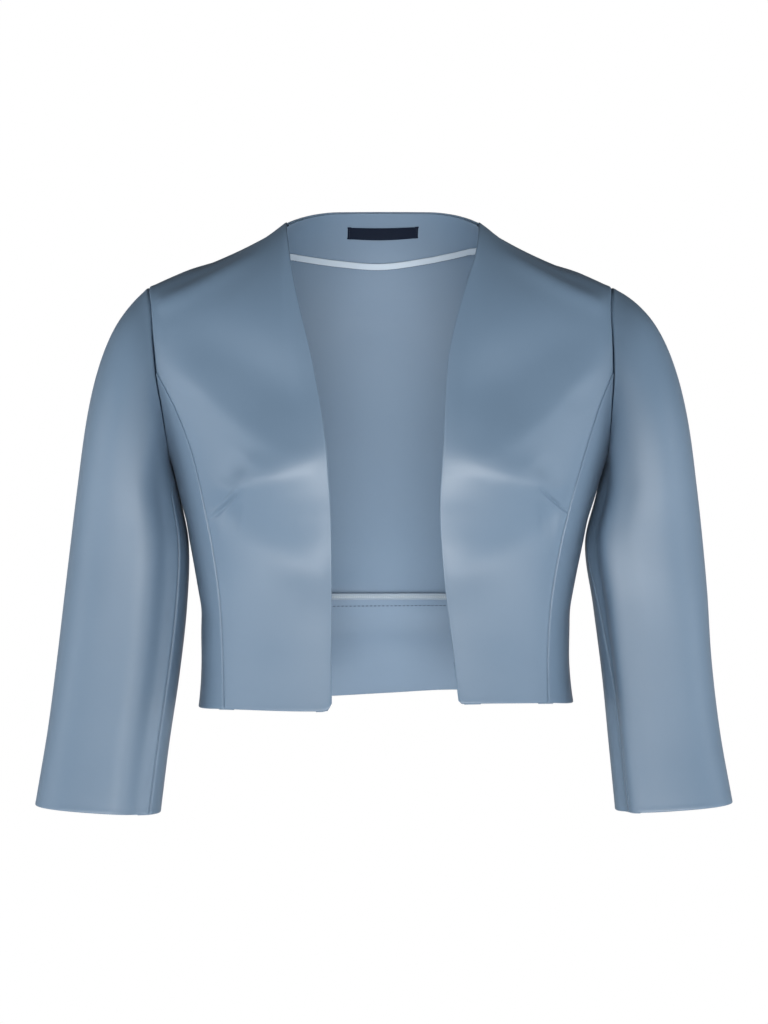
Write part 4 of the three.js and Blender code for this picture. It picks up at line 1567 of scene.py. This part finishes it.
@dataclass(frozen=True)
class Studio:
    """Camera, floor and soft lights.

    Attributes:
        distance: from the camera to the side line of the jacket, in metres.
        eye_height: of the camera, in metres.
        pixel: size of a pixel at the side line, in metres.
        picture_height: of the picture, in pixels.
        floor_height: height of the floor.
        floor_radius: of the floor.
        floor_glow: light that it adds where the camera sees it.
        sky: brightness of the surroundings by height, from straight down to straight up.
        sky_strength: brightness of the brightest of them.
        sky_behind: share of it that is left behind the jacket.
    """

    distance: float = 2.3
    eye_height: float = -0.235
    pixel: float = 0.00085
    picture_height: int = 1024
    floor_height: float = -1.42
    floor_radius: float = 3.3
    floor_glow: float = 0.45
    sky: tuple[tuple[float, float], ...] = (
        (-1.0, 0.25),
        (-0.5, 0.4),
        (-0.15, 0.8),
        (0.05, 1.0),
        (0.26, 0.22),
        (0.5, 0.04),
        (1.0, 0.02),
    )
    sky_strength: float = 0.95
    sky_behind: float = 0.35

    def camera(self) -> None:
        """Place the level camera."""
        data = bpy.data.cameras.new("camera")
        data.sensor_fit = "VERTICAL"
        data.sensor_height = 36.0
        data.lens = data.sensor_height * self.distance / (self.picture_height * self.pixel)
        data.clip_end = 50.0
        obj = bpy.data.objects.new("camera", data)
        obj.location = (0.0, -self.distance, self.eye_height)
        obj.rotation_euler = (math.pi / 2, 0.0, 0.0)
        bpy.context.scene.collection.objects.link(obj)
        bpy.context.scene.camera = obj

    def light(
        self, name: str, place: tuple, size: tuple, watts: float, aim: tuple, shine: bool = True
    ) -> None:
        """Hang one soft box.

        Args:
            name: of the light.
            place: where it hangs, in metres.
            size: its width and height, in metres.
            watts: its power.
            aim: what it points at.
            shine: whether glossy cloth mirrors it.
        """
        data = bpy.data.lights.new(name, "AREA")
        data.shape = "RECTANGLE"
        data.size, data.size_y = size
        data.energy = watts
        obj = bpy.data.objects.new(name, data)
        obj.location = place
        obj.rotation_euler = (Vector(aim) - Vector(place)).to_track_quat("-Z", "Y").to_euler()
        obj.visible_camera = False
        obj.visible_glossy = shine
        bpy.context.scene.collection.objects.link(obj)

    def world(self) -> None:
        """White surroundings, bright at eye level, dim overhead and dimmer behind."""
        world = bpy.data.worlds.new("studio")
        bpy.context.scene.world = world
        world.use_nodes = True
        tree = world.node_tree
        tree.nodes.clear()
        parts = add_node(tree, "SeparateXYZ", {"Vector": add_node(tree, "TexCoord").outputs["Generated"]})
        span = add_node(tree, "MapRange", {"Value": parts.outputs["Z"], "From Min": -1.0})
        ramp = add_node(tree, "ValToRGB", {"Fac": span.outputs["Result"]})
        ramp.color_ramp.interpolation = "EASE"
        stops = ramp.color_ramp.elements
        for stop, (height, grey) in zip(list(stops), (self.sky[0], self.sky[-1])):
            stop.position, stop.color = (height + 1) / 2, (grey, grey, grey, 1)
        for height, grey in self.sky[1:-1]:
            stops.new((height + 1) / 2).color = (grey, grey, grey, 1)
        around = {"Value": parts.outputs["Y"], "From Min": -0.8, "From Max": 0.1}
        around |= {"To Min": self.sky_strength, "To Max": self.sky_strength * self.sky_behind}
        strength = add_node(tree, "MapRange", around).outputs["Result"]
        lit = add_node(tree, "Background", {"Color": ramp.outputs["Color"], "Strength": strength})
        seen = add_node(tree, "Background", {"Color": (1, 1, 1, 1)})
        ray = add_node(tree, "LightPath").outputs["Is Camera Ray"]
        shown = {"Fac": ray, 1: lit.outputs["Background"], 2: seen.outputs["Background"]}
        add_node(tree, "OutputWorld", {"Surface": add_node(tree, "MixShader", shown).outputs["Shader"]})

    def floor(self) -> None:
        """Lay the plain pale floor that a wearer would stand on."""
        bm = bmesh.new()
        bmesh.ops.create_circle(bm, cap_ends=True, segments=96, radius=self.floor_radius)
        bmesh.ops.translate(bm, verts=bm.verts[:], vec=(0, 0, self.floor_height))
        obj = object_from(bm, "floor")
        material, tree, shader = plain_material("pale_floor")
        ray = add_node(tree, "LightPath").outputs["Is Camera Ray"]
        glow = add_node(tree, "Math", {0: ray, 1: self.floor_glow}, operation="MULTIPLY")
        set_inputs(tree, shader, {
            "Base Color": (0.86, 0.86, 0.85, 1),
            "Roughness": 0.85,
            "Emission Color": (1, 1, 1, 1),
            "Emission Strength": glow.outputs["Value"],
        })
        obj.data.materials.append(material)

    def build(self) -> None:
        """Set up everything that isn't the jacket."""
        self.camera()
        self.world()
        self.floor()
        chest = (0.0, 0.0, -0.22)
        self.light("strip", (0.0, -2.6, -0.85), (2.2, 0.6), 37, chest)
        for side in Side:
            self.light(f"strip_{side.word}", (side.value * 1.95, -1.9, -0.85), (2.6, 0.6), 10, chest)
            place = (side.value * 2.4, -0.45, 0.0)
            self.light(f"wing_{side.word}", place, (1.3, 1.1), 30, chest, shine=False)
        self.light("rear", (0.0, 2.6, -0.1), (2.6, 1.4), 40, chest, shine=False)
        self.light("hollow", (0.0, 0.015, -0.2), (0.02, 0.34), 0.11, (0.0, 0.1, -0.2))
        scene = bpy.context.scene
        scene.view_settings.view_transform = "Standard"
        scene.view_settings.look = "None"
        scene.view_settings.exposure = 0.0


# The jacket


@dataclass(frozen=True)
class Cut:
    """Flat size of a piece of cloth before it is sewn, in metres, and its area."""

    width: float
    length: float
    area: float


@dataclass
class Jacket:
    """All pieces of the bolero jacket.

    Attributes:
        cloth: thickness of the satin.
        tape_cloth: thickness of the tape's satin.
        label_cloth: thickness of the label.
        facing_depth: how far the facings' good side lies under the back's outer face.
        tape_depth: the same for the bindings.
        label_depth: the same for the label.
        thread_rise: how far the middle of a topstitch stands off its cloth.
        hem_turn: cloth turned up at the hems.
        corner_right: radius of the right front's lower corner.
        corner_left: radius of the left front's.
        back_hem: height of the back hem.
        bands: places of what lies inside the back.
        seam: edge of a panel at a seam.
    """

    cloth: float = 0.55
    tape_cloth: float = 0.35
    label_cloth: float = 0.3
    facing_depth: float = 3.1
    tape_depth: float = 3.9
    label_depth: float = 3.75
    thread_rise: float = 0.35
    hem_turn: float = 30.0
    corner_right: float = 6.0
    corner_left: float = 2.5
    back_hem: float = -395.0
    bands: BackBands = BackBands()
    seam: Edge = Edge(EdgeKind.SEAMED, 9.0)

    def __post_init__(self) -> None:
        """Make the finishes."""
        self.satin = SATIN.make()
        self.reverse = REVERSE.make()
        self.tape = TAPE.make()
        self.neck_tape_painted_highlight = NECK_TAPE_PAINTED_HIGHLIGHT.make()
        self.woven = LABEL.make()
        self.thread = THREAD.make()
        self.tape_thread_and_shadow = TAPE_THREAD_AND_SHADOW.make()
        self.pale_thread = PALE_THREAD.make()
        self.label_thread = LABEL_THREAD.make()

    def sew(self, sheet: ClothSheet, node: str, slot: str) -> None:
        """Make a sheet in place of its solid, hang it from the root and log its points and cloth area.

        Args:
            sheet: the sheet.
            node: the solid that it stands for.
            slot: the record's material.
        """
        faces = {
            "satin": (self.satin, self.reverse),
            "satin_reverse": (self.reverse, self.satin),
            # The neck binding takes the brighter copy of the tape, a painted highlight.
            "binding": (self.neck_tape_painted_highlight if node == "neck_binding" else self.tape, self.tape),
            "label": (self.woven, self.woven),
        }[slot]
        thickness = {"binding": self.tape_cloth, "label": self.label_cloth}.get(slot, self.cloth)
        obj = sheet.build(thickness, *faces)
        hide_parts(node)
        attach(obj, "root")
        LOG.info("%s: %d points, %.4f m2 of cloth", obj.name, len(obj.data.vertices), sheet.flat_area)

    def panels(self) -> None:
        """Build the fronts, the side panels, the back and the sleeves."""
        hem, seam = Edge(EdgeKind.TURNED, self.hem_turn), self.seam
        for side in Side:
            surface = FrontPanel(side, self.corner_right if side is Side.RIGHT else self.corner_left)
            front = ClothSheet(
                f"front_{side.word}_cloth",
                surface,
                left=Edge(EdgeKind.TURNED, 46.0),
                right=seam,
                bottom=hem,
                top=seam,
                spacing=1.7,
                focus_u=Focus(0.88, 0.16, 1.6),
                focus_v=Focus(0.44, 0.06, 2.4),
            )
            self.sew(front, f"front_{side.word}", "satin")
        for side in Side:
            name, surface = f"side_{side.word}", SidePanel(side)
            panel = ClothSheet(f"{name}_cloth", surface, left=seam, right=seam, bottom=hem, top=seam)
            self.sew(panel, name, "satin")
        surface = BackPanel()
        narrow = Edge(EdgeKind.TURNED, 8.0)
        top = Edge(EdgeKind.SEAMED, 7.0, turned_share=surface.neck_share)
        back = ClothSheet("back_cloth", surface, left=seam, right=seam, bottom=narrow, top=top)
        self.sew(back, "back", "satin")
        cuff, head = Edge(EdgeKind.TURNED, 32.0), Edge(EdgeKind.SEAMED, 9.0, sink=1.0, tuck=0.6)
        for side in Side:
            name, surface = f"sleeve_{side.word}", SleeveSurface(side)
            tube = ClothSheet(f"{name}_cloth", surface, left=seam, right=seam, bottom=cuff, top=head)
            self.sew(tube, name, "satin")

    def inside_back(self) -> None:
        """Build the two facings, the tapes round their free edges and the plain label."""
        bands = self.bands
        facing = (2.5, self.facing_depth)
        tape = (1.0, self.tape_depth)
        label = (1.0, self.label_depth)
        facing_edges = (Edge(EdgeKind.TURNED, 2.0, roll=0.3), Edge(EdgeKind.TURNED, 4.0, roll=0.45))
        tape_edges = (
            Edge(EdgeKind.TURNED, 1.5, roll=0.25, reach=1.5),
            Edge(EdgeKind.TURNED, 1.2, roll=0.4, reach=1.4),
        )
        label_edges = (
            Edge(EdgeKind.TURNED, 3.0, roll=0.22, reach=2.0),
            Edge(EdgeKind.TURNED, 1.0, roll=0.18, reach=1.5),
        )
        for node, word, slot, surface, (ends, folds), (spacing, sunk) in (
            ("neck_facing", "cloth", "satin_reverse", bands.neck_facing(), facing_edges, facing),
            ("hem_facing", "cloth", "satin_reverse", bands.hem_facing(), facing_edges, facing),
            ("neck_binding", "tape", "binding", bands.neck_binding(), tape_edges, tape),
            ("hem_binding", "tape", "binding", bands.hem_binding(), tape_edges, tape),
            ("neck_label", "woven", "label", bands.label(), label_edges, label),
        ):
            sheet = ClothSheet(
                f"{node}_{word}",
                surface,
                left=ends,
                right=ends,
                bottom=folds,
                top=folds,
                spacing=spacing,
                sunk=sunk,
                facing_in=True,
            )
            self.sew(sheet, node, slot)

    def stitches(self) -> None:
        """Sew the hem facing's topstitching, the rows on both tapes and the ends of the label."""
        bands, rise = self.bands, self.thread_rise
        below = bands.hem_top - bands.binding - bands.stitch_drop
        share = (below - self.back_hem) / (bands.hem_top - 1 - self.back_hem)
        facing, hem_tape = bands.hem_facing(), bands.hem_binding()
        topstitch = StitchRow(
            facing, (0.012, share), (0.988, share), 50, self.facing_depth + rise, Stitch(2.6, 0.7)
        )
        self.rows("hem_stitching", [topstitch], self.thread, "satin_reverse")
        # The rows beside the tapes are stitching in dark thread that also paints the shadow line along the
        # tapes' edges.
        edges = ((hem_tape, 1.12, 72), (bands.neck_binding(), -0.12, 84))
        beside_tape = [
            StitchRow(tape, (0.006, v), (0.994, v), count, self.facing_depth + 0.2, Stitch(2.9, 0.55))
            for tape, v, count in edges
        ]
        self.rows("tape_stitching_and_shadow", beside_tape, self.tape_thread_and_shadow, "binding")
        on_tape = [
            StitchRow(hem_tape, (0.01, v), (0.99, v), 96, self.tape_depth + rise, Stitch(1.3, 0.6))
            for v in (0.36, 0.58)
        ]
        self.rows("tape_topstitching", on_tape, self.pale_thread, "binding")
        ends = [
            StitchRow(bands.label(), (u, 0.06), (u, 0.94), 6, self.label_depth + 0.05, Stitch(1.3, 0.34))
            for u in (0.022, 0.978)
        ]
        self.rows("label_stitching", ends, self.label_thread, "label")

    def rows(self, name: str, rows: list[StitchRow], thread: bpy.types.Material, slot: str) -> None:
        """Join rows of stitches in one piece.

        Args:
            name: name of the piece.
            rows: the rows.
            thread: material of the thread.
            slot: the record's material; not used.
        """
        bm = bmesh.new()
        for row in rows:
            row.add(bm)
        for poly in bm.faces:
            poly.smooth = True
        bmesh.ops.recalc_face_normals(bm, faces=bm.faces[:])
        obj = object_from(bm, name)
        obj.data.materials.append(thread)
        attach(obj, "root")
        LOG.info("%s: %d stitches", name, sum(row.count for row in rows))

    def build(self) -> None:
        """Build every piece."""
        self.panels()
        self.inside_back()
        self.stitches()


def main() -> None:
    """Build the jacket in its studio."""
    logging.basicConfig(level=logging.INFO, format="%(message)s")
    Studio().build()
    Jacket().build()


if __name__ == "__main__":
    main()
